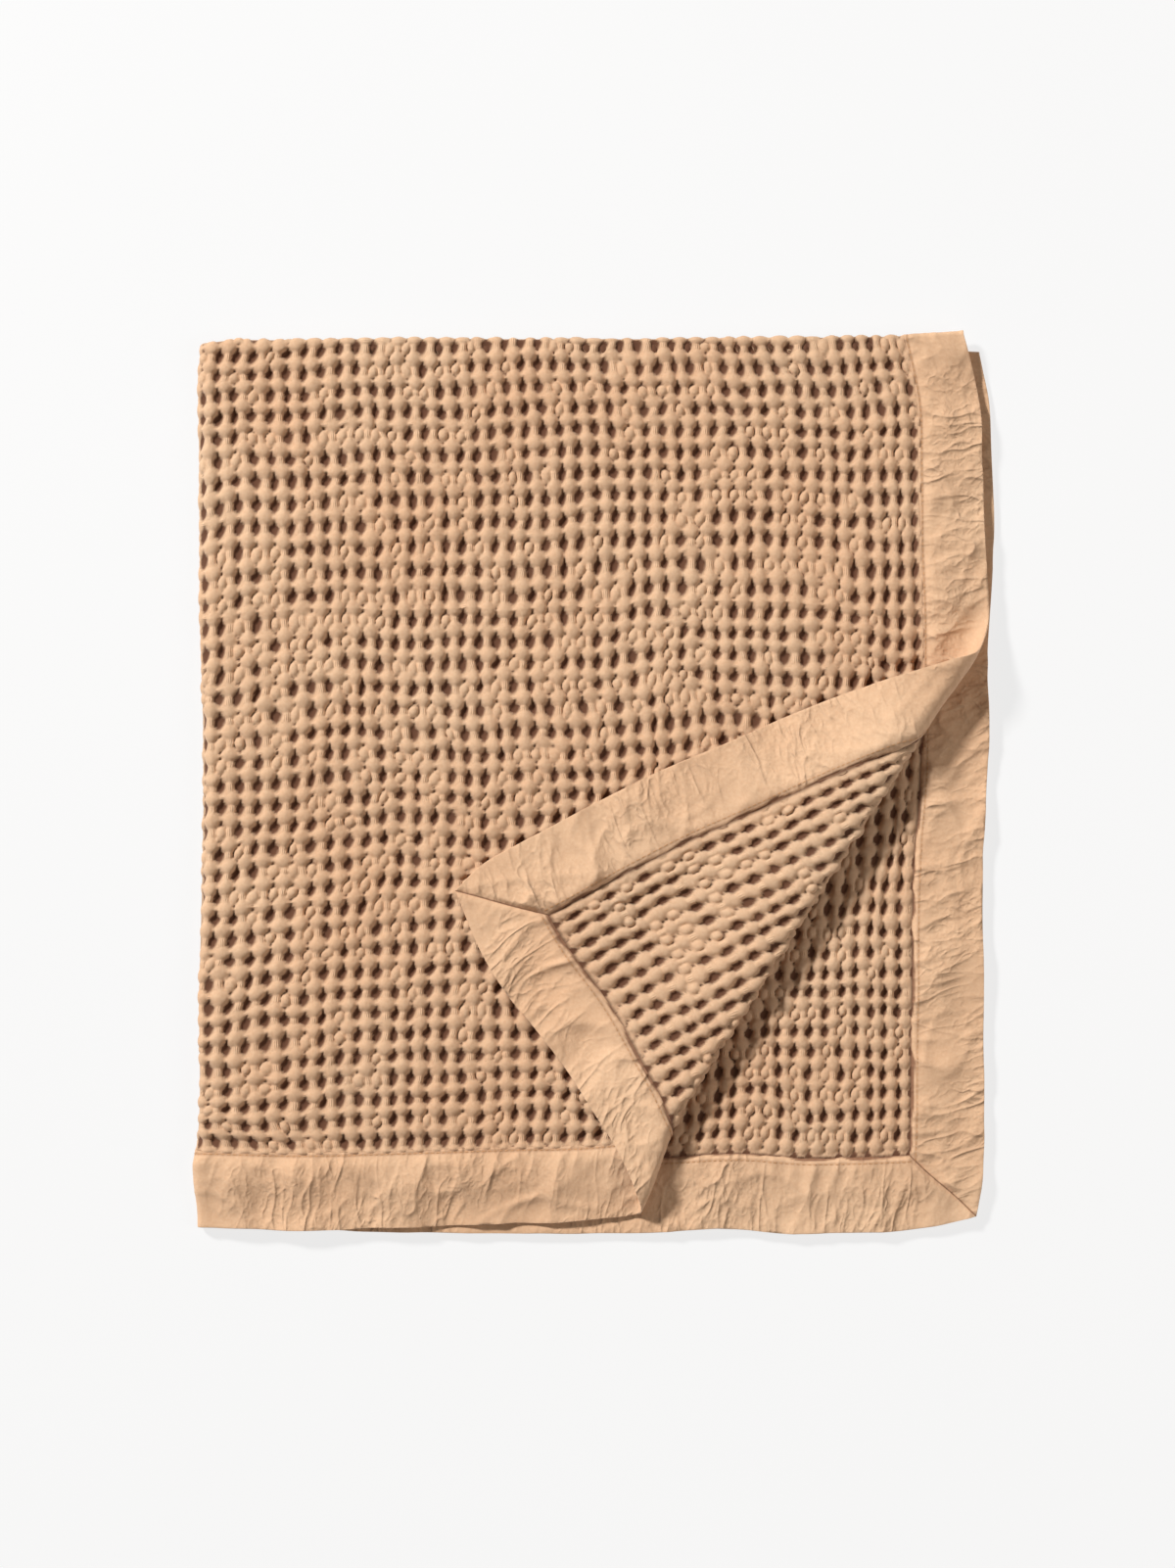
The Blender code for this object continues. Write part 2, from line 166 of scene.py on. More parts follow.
def scatter(x: Array, y: Array, seed: int) -> Array:
    """Repeatable random number from 0 to 1 for each pair of whole numbers.

    Args:
        x: first whole numbers.
        y: second whole numbers, of the same shape.
        seed: picks one of many independent tables.

    Returns:
        The random numbers, of the same shape.
    """
    mixed = x.astype(np.int64) * 374761393 + y.astype(np.int64) * 668265263
    mixed = (mixed + seed * 974634777) & 0xFFFFFFFF
    mixed = ((mixed ^ (mixed >> 13)) * 1274126177) & 0xFFFFFFFF
    mixed = ((mixed ^ (mixed >> 16)) * 2246822519) & 0xFFFFFFFF
    return (mixed ^ (mixed >> 15)) / float(0xFFFFFFFF)


def noise(x: Array, y: Array, seed: int) -> Array:
    """Soft random surface from 0 to 1, with bumps about one unit apart.

    Args:
        x: first coordinates.
        y: second coordinates, of the same shape.
        seed: picks one of many independent surfaces.

    Returns:
        The surface's values, of the same shape.
    """
    left, low = np.floor(x), np.floor(y)
    right, up = smooth(x - left), smooth(y - low)
    below, above = (
        scatter(left, row, seed) * (1 - right) + scatter(left + 1, row, seed) * right
        for row in (low, low + 1)
    )
    return below * (1 - up) + above * up


def crease_lines(x: Array, y: Array, seed: int, sharp: float) -> Array:
    """Thin wandering ridges from 0 to 1, such as pressed-in creases.

    Args:
        x: first coordinates, about one crease to a unit.
        y: second coordinates.
        seed: picks one of many independent nets of creases.
        sharp: how narrow the ridges are; 1 is broad.

    Returns:
        The ridges' heights.
    """
    return (1.0 - np.abs(2.0 * noise(x, y, seed) - 1.0)) ** sharp


def dome(reach: Array, broad: float = 2.6, soft: float = 0.6) -> Array:
    """Rounded top: 1 in the middle, 0 from a reach of 1 on.

    Args:
        reach: distance from the middle, as a share of the half width.
        broad: how flat the middle is.
        soft: how round the shoulders are; 0 is upright.

    Returns:
        The height of the top.
    """
    return np.clip(1.0 - reach ** broad, 0, 1) ** soft


def bell(distance: Array, width: float) -> Array:
    """Bell curve: 1 at no distance, falling off over the width."""
    return np.exp(-((distance / width) ** 2))


def cell_corners(grid: Array) -> Array:
    """Values at the four corners of each cell of a grid, on a last axis."""
    corners = (grid[:-1, :-1], grid[:-1, 1:], grid[1:, 1:], grid[1:, :-1])
    return np.stack(corners, axis=-1)


@dataclass
class Fold:
    """The folds of the throw: where each flat point comes to lie.

    The radius of the cloth's middle round either crease is in panel pitches.
    """

    half_width: float = 0.646
    half_length: float = 0.729
    border: float = 0.062
    panel_pitch: float = 0.0050
    border_pitch: float = 0.0028
    left_radius: float = 1.5
    top_radius: float = 0.5
    drape_x: float = 0.272
    drape_y: float = -0.310
    drape_run: float = 0.046
    roll_foot: tuple[float, float] = (0.0112, -0.3636)
    roll_head: tuple[float, float] = (0.3176, 0.1060)
    foot_bend: float = 0.017
    foot_run: float = 0.130
    radius_foot: float = 0.006
    radius_head: float = 0.014
    roll_fall: float = 0.100
    wrinkle_run: float = 0.026
    flap_wrinkle: tuple[float, float, float] = (0.0026, 0.068, 1.2)
    flap_limits: tuple[float, float] = (0.316, -0.343)

    @property
    def panel_u(self) -> float:
        """Half width of the waffle panel."""
        return self.half_width - self.border

    @property
    def panel_v(self) -> float:
        """Half length of the waffle panel."""
        return self.half_length - self.border

    @property
    def left_take_up(self) -> float:
        """Cloth on either side of the left crease line that goes round it."""
        return math.pi * self.left_radius * self.panel_pitch / 2

    @property
    def top_take_up(self) -> float:
        """Cloth on either side of the top crease line that goes round it."""
        return math.pi * self.top_radius * self.panel_pitch / 2

    @staticmethod
    def edge_point(edge: Sequence[tuple], fraction: Array) -> Array:
        """Point on a table edge, by a cubic through its rows.

        Args:
            edge: rows of fraction, x mm, y mm.
            fraction: how far along the edge, 0 to 1.

        Returns:
            The points, with a last axis of x and y.
        """
        rows = np.array(edge, dtype=float)
        knots = rows[:, 0]
        points = rows[:, 1:] / 1000.0
        slopes = np.gradient(points, knots, axis=0)
        index = np.clip(np.searchsorted(knots, fraction, "right") - 1, 0, len(knots) - 2)
        span = (knots[index + 1] - knots[index])[..., None]
        part = (fraction - knots[index])[..., None] / span
        ease = smooth(part)
        start = part * (1.0 - part) ** 2 * span * slopes[index]
        end = part * part * (part - 1.0) * span * slopes[index + 1]
        return points[index] * (1.0 - ease) + points[index + 1] * ease + start + end

    def layer_point(self, layer: int, across: Array, down: Array) -> Array:
        """Place of a layer's points in plan, spread between its four edges.

        Args:
            layer: 1 to 4 from the top.
            across: fraction from the left crease to the right edge.
            down: fraction from the top crease to the bottom edge.

        Returns:
            The points, with a last axis of x and y.
        """
        left, right, top, bottom = EDGES[layer]
        s, t = across[..., None], down[..., None]
        ends = np.array((0.0, 1.0))
        corner_00, corner_01 = self.edge_point(left, ends)
        corner_10, corner_11 = self.edge_point(right, ends)
        sides = (1 - s) * self.edge_point(left, down) + s * self.edge_point(right, down)
        rims = (1 - t) * self.edge_point(top, across) + t * self.edge_point(bottom, across)
        corners = (1 - s) * (1 - t) * corner_00 + s * (1 - t) * corner_10
        corners = corners + (1 - s) * t * corner_01 + s * t * corner_11
        return sides + rims - corners

    @staticmethod
    def ridges(along: Array, wave: float, phase: float) -> Array:
        """Uneven soft ridges, 0 to 1."""
        turn = 2.0 * math.pi * along / wave + phase
        return (0.5 + 0.5 * np.cos(turn + 1.1 * np.sin(turn / 2.7 + phase))) ** 1.3

    def rise(self, layer: int, x: Array, y: Array) -> Array:
        """How far a layer lifts off the one below it by its own creases.

        Args:
            layer: 1 to 3 from the top.
            x: plan x.
            y: plan y.

        Returns:
            The lift at each place.
        """
        height, wave, phase = WRINKLES[layer]
        lead = 0.004
        side = smooth((x - self.drape_x + lead) / self.wrinkle_run)
        end = smooth((self.drape_y + lead - y) / self.wrinkle_run)
        side = side * self.ridges(y, wave, phase)
        wrinkle = height * np.maximum(side, end * self.ridges(x, wave, phase + 1.0))
        height, wave, heading = SWELLS[layer]
        angle = math.radians(heading)
        along = x * math.cos(angle) + y * math.sin(angle)
        return wrinkle + height * (0.5 + 0.5 * np.cos(2.0 * math.pi * along / wave))

    def bed(self, layer: int, x: Array, y: Array) -> Array:
        """Height of the underside of a layer; layer 0 is the turned-back flap.

        Args:
            layer: 0 to 4 from the top.
            x: plan x.
            y: plan y.

        Returns:
            The height above the floor.
        """
        beyond = np.hypot(np.maximum(x - self.drape_x, 0), np.maximum(self.drape_y - y, 0))
        full = 1.0 - smooth(beyond / self.drape_run)
        pitch = self.border_pitch + (self.panel_pitch - self.border_pitch) * full
        height = (4 - layer) * pitch
        for below in range(max(layer, 1), 4):
            height = height + self.rise(below, x, y)
        return height

    def roll_frame(self, x: Array, y: Array) -> tuple[Array, Array, Array]:
        """Where points lie by the turning line.

        Args:
            x: plan x.
            y: plan y.

        Returns:
            The distance past the line, the line's normal, the roll radius.
        """
        foot = np.array(self.roll_foot)
        line = np.array(self.roll_head) - foot
        length = float(np.hypot(*line))
        line = line / length
        normal = np.array((line[1], -line[0]))
        along = (x - foot[0]) * line[0] + (y - foot[1]) * line[1]
        bend = self.foot_bend * (1.0 - smooth(along / self.foot_run))
        past = (x - foot[0]) * normal[0] + (y - foot[1]) * normal[1] - bend
        part = np.clip(along / length, 0.0, 1.0)
        radius = self.radius_foot + (self.radius_head - self.radius_foot) * part
        return past, normal, radius

    def flap_rise(self, u: Array, v: Array) -> Array:
        """Wrinkle height of the turned-back border strips.

        Args:
            u: flat u.
            v: flat v.

        Returns:
            The height of the wrinkles.
        """
        height, wave, phase = self.flap_wrinkle
        side = smooth((np.abs(u) - self.panel_u) / self.wrinkle_run)
        end = smooth((np.abs(v) - self.panel_v) / self.wrinkle_run)
        side = side * self.ridges(v, wave, phase)
        return height * np.maximum(side, end * self.ridges(u, wave, phase + 2.0))

    def plan(self, u: Array, v: Array) -> tuple[Array, Array, Array]:
        """Layer number and place in plan of flat points, before the roll.

        Args:
            u: flat u.
            v: flat v.

        Returns:
            The layer, 1 to 4 from the top, and the plan x and y.
        """
        across = (np.abs(u) - self.left_take_up) / (self.half_width - self.left_take_up)
        down = (np.abs(v) - self.top_take_up) / (self.half_length - self.top_take_up)
        across, down = np.clip(across, 0, 1), np.clip(down, 0, 1)
        layer = np.where(u < 0, np.where(v < 0, 1, 2), np.where(v < 0, 4, 3))
        place = np.zeros(u.shape + (2,))
        for number in (1, 2, 3, 4):
            chosen = layer == number
            if chosen.any():
                place[chosen] = self.layer_point(number, across[chosen], down[chosen])
        return layer, place[..., 0], place[..., 1]

    def past_line(self, u: Array, v: Array) -> Array:
        """How far flat points of any layer lie past the turning line, in plan."""
        return self.roll_frame(*self.plan(u, v)[1:])[0]

    def roll_arc(self, u: Array, v: Array) -> tuple[Array, Array]:
        """How far flat points of layer 1 lie past the start of the roll.

        Args:
            u: flat u.
            v: flat v.

        Returns:
            The length of cloth past the roll's start, and the roll radius.
        """
        layer, x, y = self.plan(u, v)
        past, _, radius = self.roll_frame(x, y)
        arc = past + 0.5 * math.pi * radius
        return np.where(layer == 1, arc, -1.0), radius

    def covered(self, u: Array, v: Array, margin: float) -> Array:
        """Whether points of layer 1 lie well under the turned-back flap.

        Args:
            u: flat u.
            v: flat v.
            margin: least distance to the flap's edge.

        Returns:
            True for the covered points.
        """
        layer, x, y = self.plan(u, v)
        past, normal, _ = self.roll_frame(x, y)
        far_x = x - 2.0 * past * normal[0]
        far_y = y - 2.0 * past * normal[1]
        right, bottom = self.flap_limits
        inside = (far_x < right - margin) & (far_y > bottom + margin)
        return (layer == 1) & (past < 0) & inside

    def lay(self, u: Array, v: Array, offset: Array, middle: Array, up: Array) -> Array:
        """Folded place of flat points.

        Args:
            u: flat u.
            v: flat v.
            offset: distance from the middle of the cloth, outwards in the stack.
            middle: height of the cloth's middle above its bed.
            up: extra shift towards whichever side faces up.

        Returns:
            The points, with a last axis of x, y and z.
        """
        turn = np.clip(0.5 * math.pi * (1.0 + u / self.left_take_up), 0.0, math.pi)
        bend = np.clip(0.5 * math.pi * (1.0 + v / self.top_take_up), 0.0, math.pi)
        layer, x, y = self.plan(u, v)
        past, normal, radius = self.roll_frame(x, y)
        arc = past + 0.5 * math.pi * radius
        turned = (layer == 1) & (arc > 0)
        back = np.where(turned, arc, 0.0)
        angle = np.clip(back / radius, 0.0, math.pi)
        offset = offset + up * np.cos(turn) * np.cos(bend) * np.cos(angle)
        base_x = x - back * normal[0]
        base_y = y - back * normal[1]

        heights = [self.bed(k, base_x, base_y) + middle for k in (1, 2, 3, 4)]
        upper = (heights[0] + heights[1]) / 2
        lower = (heights[2] + heights[3]) / 2
        share = (1.0 + np.cos(turn)) / 2
        half = (heights[0] - heights[1]) / 2 * share
        half = half + (heights[2] - heights[3]) / 2 * (1.0 - share) + offset
        reach = (upper - lower) / 2 + half * np.cos(bend)
        z = (upper + lower) / 2 + reach * np.cos(turn)
        flat_x = x - reach * np.sin(turn)
        flat_y = y + half * np.sin(bend)

        out = offset - self.flap_rise(u, v) * smooth(back / radius / 2.0)
        beyond = np.maximum(back - math.pi * radius, 0.0)
        shift = (radius - out) * np.sin(angle) - beyond
        flap_x = base_x + shift * normal[0]
        flap_y = base_y + shift * normal[1]
        rolled = heights[0] + radius * (1.0 - np.cos(angle))
        rest = self.bed(0, flap_x, flap_y) + middle
        settle = smooth(beyond / self.roll_fall)
        flap_z = rolled * (1.0 - settle) + rest * settle + out * np.cos(angle)
        place = (
            np.where(turned, flap_x, flat_x),
            np.where(turned, flap_y, flat_y),
            np.where(turned, flap_z, z),
        )
        return np.stack(place, axis=-1)


def place_object(name: str, data: bpy.types.ID) -> bpy.types.Object:
    """New object in the scene, over a mesh, light or camera.

    Args:
        name: name of the object.
        data: what it shows.

    Returns:
        The new object.
    """
    item = bpy.data.objects.new(name, data)
    bpy.context.scene.collection.objects.link(item)
    return item


def mesh_object(
    name: str,
    points: Array,
    quads: Array,
    material: bpy.types.Material,
    uv: Array | None = None,
    masks: Array | None = None,
) -> bpy.types.Object:
    """Smooth mesh object from arrays.

    Args:
        name: name of the new object.
        points: x, y and z of each point.
        quads: the four points of each face.
        material: the finish.
        uv: weave coordinates of each point, where the finish reads them.
        masks: four numbers for each point, where the finish reads them; the last is painted
            shade.

    Returns:
        The new object, in the scene.
    """
    data = bpy.data.meshes.new(name)
    data.from_pydata(points.tolist(), [], quads.tolist())
    if uv is not None:
        layer = data.uv_layers.new(name="weave")
        layer.data.foreach_set("uv", uv[quads.reshape(-1)].astype(np.float32).ravel())
    if masks is not None:
        # Relief masks, with the painted shade in the alpha.
        paint = data.color_attributes.new("relief", "FLOAT_COLOR", "POINT")
        paint.data.foreach_set("color", masks.astype(np.float32).ravel())
    data.polygons.foreach_set("use_smooth", np.ones(len(quads), dtype=bool))
    data.materials.append(material)
    data.update()
    return place_object(name, data)


def surface(
    name: str,
    points: Array,
    uv: Array,
    masks: Array,
    material: bpy.types.Material,
    face: Face,
    keep: Array | None = None,
    closed: bool = False,
) -> bpy.types.Object:
    """Smooth mesh over a grid of points.

    Args:
        name: name of the new object.
        points: grid of places, with a last axis of x, y and z.
        uv: grid of weave coordinates, with a last axis of two.
        masks: grid of four numbers for the material, the last painted shade.
        material: the finish.
        face: side of the cloth, which sets the way the faces turn.
        keep: which of the grid's cells are made, or None for all.
        closed: whether the grid's last row joins its first.

    Returns:
        The new object, in the scene.
    """
    rows, columns = points.shape[:2]
    index = np.arange(rows * columns).reshape(rows, columns)
    if closed:
        index = np.concatenate((index, index[:1]))
    quads = cell_corners(index)
    if keep is not None:
        quads = quads[keep]
    quads = quads.reshape(-1, 4)
    if face is Face.OUTER:
        quads = quads[:, ::-1]
    used, quads = np.unique(quads, return_inverse=True)
    flat = [grid.reshape(-1, grid.shape[-1])[used] for grid in (points, uv, masks)]
    return mesh_object(name, flat[0], quads.reshape(-1, 4), material, flat[1], flat[2])


class NodeKit:
    """Short ways to add and join shader nodes in one tree."""

    MIX_SHARE, MIX_FIRST, MIX_SECOND, MIX_COLOUR = 0, 6, 7, 2

    def __init__(self, tree: bpy.types.NodeTree) -> None:
        """Work in the given tree."""
        self.tree = tree

    def add(self, kind: str, **values: object) -> bpy.types.Node:
        """Add a node and set its properties.

        Args:
            kind: Blender's name for the node type.
            values: properties of the node, by name.

        Returns:
            The new node.
        """
        node = self.tree.nodes.new(kind)
        for name, value in values.items():
            setattr(node, name, value)
        return node

    def feed(self, socket: bpy.types.NodeSocket, value: object) -> None:
        """Join an output to a socket, or set the socket's own value.

        Args:
            socket: the input to feed.
            value: an output, or the value to set.
        """
        if isinstance(value, bpy.types.NodeSocket):
            self.tree.links.new(value, socket)
        else:
            socket.default_value = value

    def math(self, operation: str, *values: object) -> bpy.types.NodeSocket:
        """Result of a math node over outputs or numbers.

        Args:
            operation: Blender's name for the sum.
            values: outputs or numbers, in the order of the node's inputs.

        Returns:
            The result.
        """
        node = self.add("ShaderNodeMath", operation=operation)
        for socket, value in zip(node.inputs, values):
            self.feed(socket, value)
        return node.outputs[0]

    def ramp(self, value: object, gain: float, shift: float) -> bpy.types.NodeSocket:
        """A value times a gain, plus a shift."""
        return self.math("MULTIPLY_ADD", value, gain, shift)

    def limit(self, value: object, low: float, high: float) -> bpy.types.NodeSocket:
        """A value kept between two limits."""
        return self.math("MINIMUM", self.math("MAXIMUM", value, low), high)

    def mix(self, part: object, first: object, second: object) -> bpy.types.NodeSocket:
        """Colour between two colours.

        Args:
            part: share of the second colour.
            first: the first colour.
            second: the second colour.

        Returns:
            The mixed colour.
        """
        node = self.add("ShaderNodeMix", data_type="RGBA")
        self.feed(node.inputs[self.MIX_SHARE], part)
        self.feed(node.inputs[self.MIX_FIRST], first)
        self.feed(node.inputs[self.MIX_SECOND], second)
        return node.outputs[self.MIX_COLOUR]

    def grain(self, place: object, scale: float, detail: float) -> bpy.types.NodeSocket:
        """Noise texture value about 0.5.

        Args:
            place: coordinates to read the noise at.
            scale: closeness of its bumps.
            detail: how many finer layers it has.

        Returns:
            The value.
        """
        node = self.add("ShaderNodeTexNoise")
        self.feed(node.inputs["Vector"], place)
        self.feed(node.inputs["Scale"], scale)
        self.feed(node.inputs["Detail"], detail)
        return node.outputs[0]

    def split(self, vector: object) -> Sequence[bpy.types.NodeSocket]:
        """The three parts of a vector.

        Args:
            vector: the output to split.

        Returns:
            The outputs for x, y and z.
        """
        node = self.add("ShaderNodeSeparateXYZ")
        self.feed(node.inputs[0], vector)
        return node.outputs

    def use(self, group: bpy.types.NodeTree, inputs: dict) -> bpy.types.NodeSocket:
        """First output of a node group, with its inputs fed by name.

        Args:
            group: the node group.
            inputs: an output or a value for each input.

        Returns:
            The group's first output.
        """
        node = self.add("ShaderNodeGroup", node_tree=group)
        for name, value in inputs.items():
            self.feed(node.inputs[name], value)
        return node.outputs[0]

    def bump(self, shader: bpy.types.Node, height: object, distance: float) -> None:
        """Give a shader a raised surface, with height 1 at a distance.

        Args:
            shader: the shader node.
            height: the output that holds the height.
            distance: how high a height of 1 stands.
        """
        node = self.add("ShaderNodeBump")
        self.feed(node.inputs["Distance"], distance)
        self.feed(node.inputs["Height"], height)
        self.feed(shader.inputs["Normal"], node.outputs[0])


def new_group(
    name: str,
    inputs: Sequence[tuple[str, str, object]],
    output: tuple[str, str],
) -> tuple[bpy.types.NodeTree, NodeKit, bpy.types.NodeOutputs, bpy.types.NodeSocket]:
    """Start a shader node group.

    Args:
        name: the group's name.
        inputs: name, socket kind and default of each input.
        output: name and socket kind of its output.

    Returns:
        The tree, its node kit, what it is given, and the socket that its
        result goes to.
    """
    tree = bpy.data.node_groups.new(name, "ShaderNodeTree")
    for label, kind, default in inputs:
        socket = tree.interface.new_socket(label, in_out="INPUT", socket_type=kind)
        if default is not None:
            socket.default_value = default
    tree.interface.new_socket(output[0], in_out="OUTPUT", socket_type=output[1])
    kit = NodeKit(tree)
    given = kit.add("NodeGroupInput").outputs
    return tree, kit, given, kit.add("NodeGroupOutput").inputs[0]


def tone_and_shade_group() -> bpy.types.NodeTree:
    """Washed cotton colour: soft fading over the cloth and mottled yarn, with painted shade
    mixed in by the given share.

    Returns:
        The group, which puts out a colour.
    """
    tree, kit, given, made = new_group(
        "washed tone and painted shade",
        (
            ("Place", "NodeSocketVector", None),
            ("Colour", "NodeSocketColor", (0.5, 0.4, 0.3, 1.0)),
            ("Worn", "NodeSocketColor", (0.6, 0.5, 0.4, 1.0)),
            ("Shade colour", "NodeSocketColor", (0.2, 0.1, 0.1, 1.0)),
            ("Depth", "NodeSocketFloat", 0.0),
        ),
        ("Colour", "NodeSocketColor"),
    )
    strength = 0.45
    broad = kit.grain(given["Place"], scale=7.0, detail=3.0)
    fine = kit.grain(given["Place"], scale=420.0, detail=2.0)
    patch = kit.math("MULTIPLY", kit.ramp(broad, gain=1.6, shift=-0.3), strength)
    fleck = kit.math("MULTIPLY", kit.ramp(fine, gain=1.2, shift=-0.1), strength)
    share = kit.limit(kit.math("ADD", patch, fleck), low=0.0, high=1.0)
    tone = kit.mix(share, given["Colour"], given["Worn"])
    # Painted shade: the deep colour laid over the tone by the given share.
    kit.feed(made, kit.mix(given["Depth"], tone, given["Shade colour"]))
    return tree


def plain_weave_group() -> bpy.types.NodeTree:
    """Over-and-under threads of a plain weave, as a height.

    Returns:
        The group, which puts out a height of 0 to 1.
    """
    tree, kit, given, made = new_group(
        "plain weave",
        (
            ("Weave", "NodeSocketVector", None),
            ("Warp", "NodeSocketFloat", 1.0),
            ("Weft", "NodeSocketFloat", 1.0),
        ),
        ("Height", "NodeSocketFloat"),
    )
    waves = []
    for place, threads in zip(kit.split(given["Weave"]), ("Warp", "Weft")):
        count = kit.math("MULTIPLY", place, given[threads])
        waves.append(kit.math("SINE", kit.math("MULTIPLY", count, math.pi)))
    warp_over = kit.ramp(kit.math("MULTIPLY", *waves), gain=0.5, shift=0.5)
    weft_over = kit.math("SUBTRACT", 1.0, warp_over)
    tops = [
        kit.math("MULTIPLY", kit.math("ABSOLUTE", wave), over)
        for wave, over in zip(waves, (warp_over, weft_over))
    ]
    kit.feed(made, kit.math("MAXIMUM", *tops))
    return tree


def yarn_float_group() -> bpy.types.NodeTree:
    """Loose yarns that lie side by side over the cells, as a height.

    Returns:
        The group, which puts out a height of 0 to about 1.
    """
    tree, kit, given, made = new_group(
        "yarn floats",
        (
            ("Weave", "NodeSocketVector", None),
            ("Upright", "NodeSocketFloat", 0.0),
            ("Level", "NodeSocketFloat", 0.0),
            ("Yarns across", "NodeSocketFloat", 8.0),
            ("Yarns along", "NodeSocketFloat", 10.0),
        ),
        ("Height", "NodeSocketFloat"),
    )
    roundness = 0.6
    wander = kit.grain(given["Weave"], scale=2.3, detail=1.0)
    wander = kit.ramp(wander, gain=0.16, shift=-0.08)
    places = kit.split(given["Weave"])
    heights = []
    for axis, count, mask in ((0, "Yarns across", "Upright"), (1, "Yarns along", "Level")):
        turn = kit.math("MULTIPLY", kit.math("ADD", places[axis], wander), given[count])
        yarn = kit.math("ABSOLUTE", kit.math("SINE", kit.math("MULTIPLY", turn, math.pi)))
        yarn = kit.math("POWER", yarn, roundness)
        heights.append(kit.math("MULTIPLY", yarn, given[mask]))
    kit.feed(made, kit.math("ADD", *heights))
    return tree


# Fine creases: heading, stretch, closeness, sharpness, share of the height.
CREASE_RUNS = (
    (0.20, (1.0, 0.35, 1.0), 30.0, 34.0, 1.0),
    (1.00, (1.0, 0.45, 1.0), 34.0, 34.0, 0.9),
    (-0.9, (1.0, 0.40, 1.0), 31.0, 34.0, 0.9),
    (1.50, (1.0, 0.60, 1.0), 70.0, 20.0, 0.5),
    (0.00, (1.0, 0.80, 1.0), 160.0, 10.0, 0.25),
)


def crumple_group() -> bpy.types.NodeTree:
    """Fine creases of washed cotton that run several ways, as a height.

    Returns:
        The group, which puts out a height.
    """
    tree, kit, given, made = new_group(
        "fine creases",
        (("Cloth", "NodeSocketVector", None),),
        ("Height", "NodeSocketFloat"),
    )
    total = None
    for heading, stretch, closeness, sharp, share in CREASE_RUNS:
        turned = kit.add("ShaderNodeMapping")
        kit.feed(turned.inputs["Vector"], given["Cloth"])
        turned.inputs["Rotation"].default_value = (0.0, 0.0, heading)
        turned.inputs["Scale"].default_value = stretch
        apart = (heading * 3.0 + 1.0, closeness * 0.1, 0.0)
        turned.inputs["Location"].default_value = apart
        value = kit.grain(turned.outputs[0], scale=closeness, detail=1.5)
        away = kit.math("MULTIPLY", kit.math("SUBTRACT", value, 0.5), sharp)
        square = kit.math("MULTIPLY_ADD", away, away, 1.0)
        height = kit.math("MULTIPLY", kit.math("DIVIDE", 1.0, square), share)
        total = height if total is None else kit.math("ADD", total, height)
    calm = kit.ramp(kit.grain(given["Cloth"], scale=11.0, detail=1.0), gain=4.0, shift=-1.3)
    kit.feed(made, kit.math("MULTIPLY", total, kit.limit(calm, low=0.25, high=1.2)))
    return tree


class Groups:
    """The node groups that the cloth finishes share."""

    def __init__(self) -> None:
        """Build each group once."""
        self.tone = tone_and_shade_group()
        self.plain = plain_weave_group()
        self.floats = yarn_float_group()
        self.creases = crumple_group()


def start_material(name: str) -> tuple[bpy.types.Material, NodeKit, bpy.types.Node]:
    """New material with its Principled shader.

    Args:
        name: name of the material.

    Returns:
        The material, its node kit and its shader node.
    """
    material = bpy.data.materials.new(name)
    material.use_nodes = True
    kit = NodeKit(material.node_tree)
    return material, kit, material.node_tree.nodes["Principled BSDF"]


def srgb(red: float, green: float, blue: float) -> Colour:
    """Linear colour of an 8-bit display colour."""
    linear = [((c / 255.0 + 0.055) / 1.055) ** 2.4 for c in (red, green, blue)]
    return (*linear, 1.0)


@dataclass(frozen=True)
class ClothFinish:
    """What the finishes of both cotton cloths have."""

    slot: str
    colour: Colour
    worn: Colour
    # Colour of the painted shade in deep places.
    deep: Colour
    roughness: float
    sheen: float

    def start(
        self, groups: Groups,
    ) -> tuple[
        bpy.types.Material, NodeKit, bpy.types.Node,
        bpy.types.NodeSocket, bpy.types.NodeOutputs,
    ]:
        """Start a material coloured by the washed cotton tone, with painted shade mixed in.

        Args:
            groups: the shared node groups.

        Returns:
            The material, its node kit, its shader, the weave coordinates,
            and the outputs of the relief masks, whose alpha is the painted shade.
        """
        material, kit, shader = start_material(self.slot)
        weave = kit.add("ShaderNodeUVMap", uv_map="weave").outputs[0]
        relief = kit.add("ShaderNodeVertexColor", layer_name="relief").outputs
        inputs = {
            "Place": kit.add("ShaderNodeTexCoord").outputs["Object"],
            "Colour": self.colour,
            "Worn": self.worn,
            "Shade colour": self.deep,
            "Depth": relief["Alpha"],
        }
        kit.feed(shader.inputs["Base Color"], kit.use(groups.tone, inputs))
        shader.inputs["Roughness"].default_value = self.roughness
        shader.inputs["Sheen Weight"].default_value = self.sheen
        shader.inputs["Sheen Roughness"].default_value = 0.5
        shader.inputs["Specular IOR Level"].default_value = 0.2
        return material, kit, shader, weave, relief


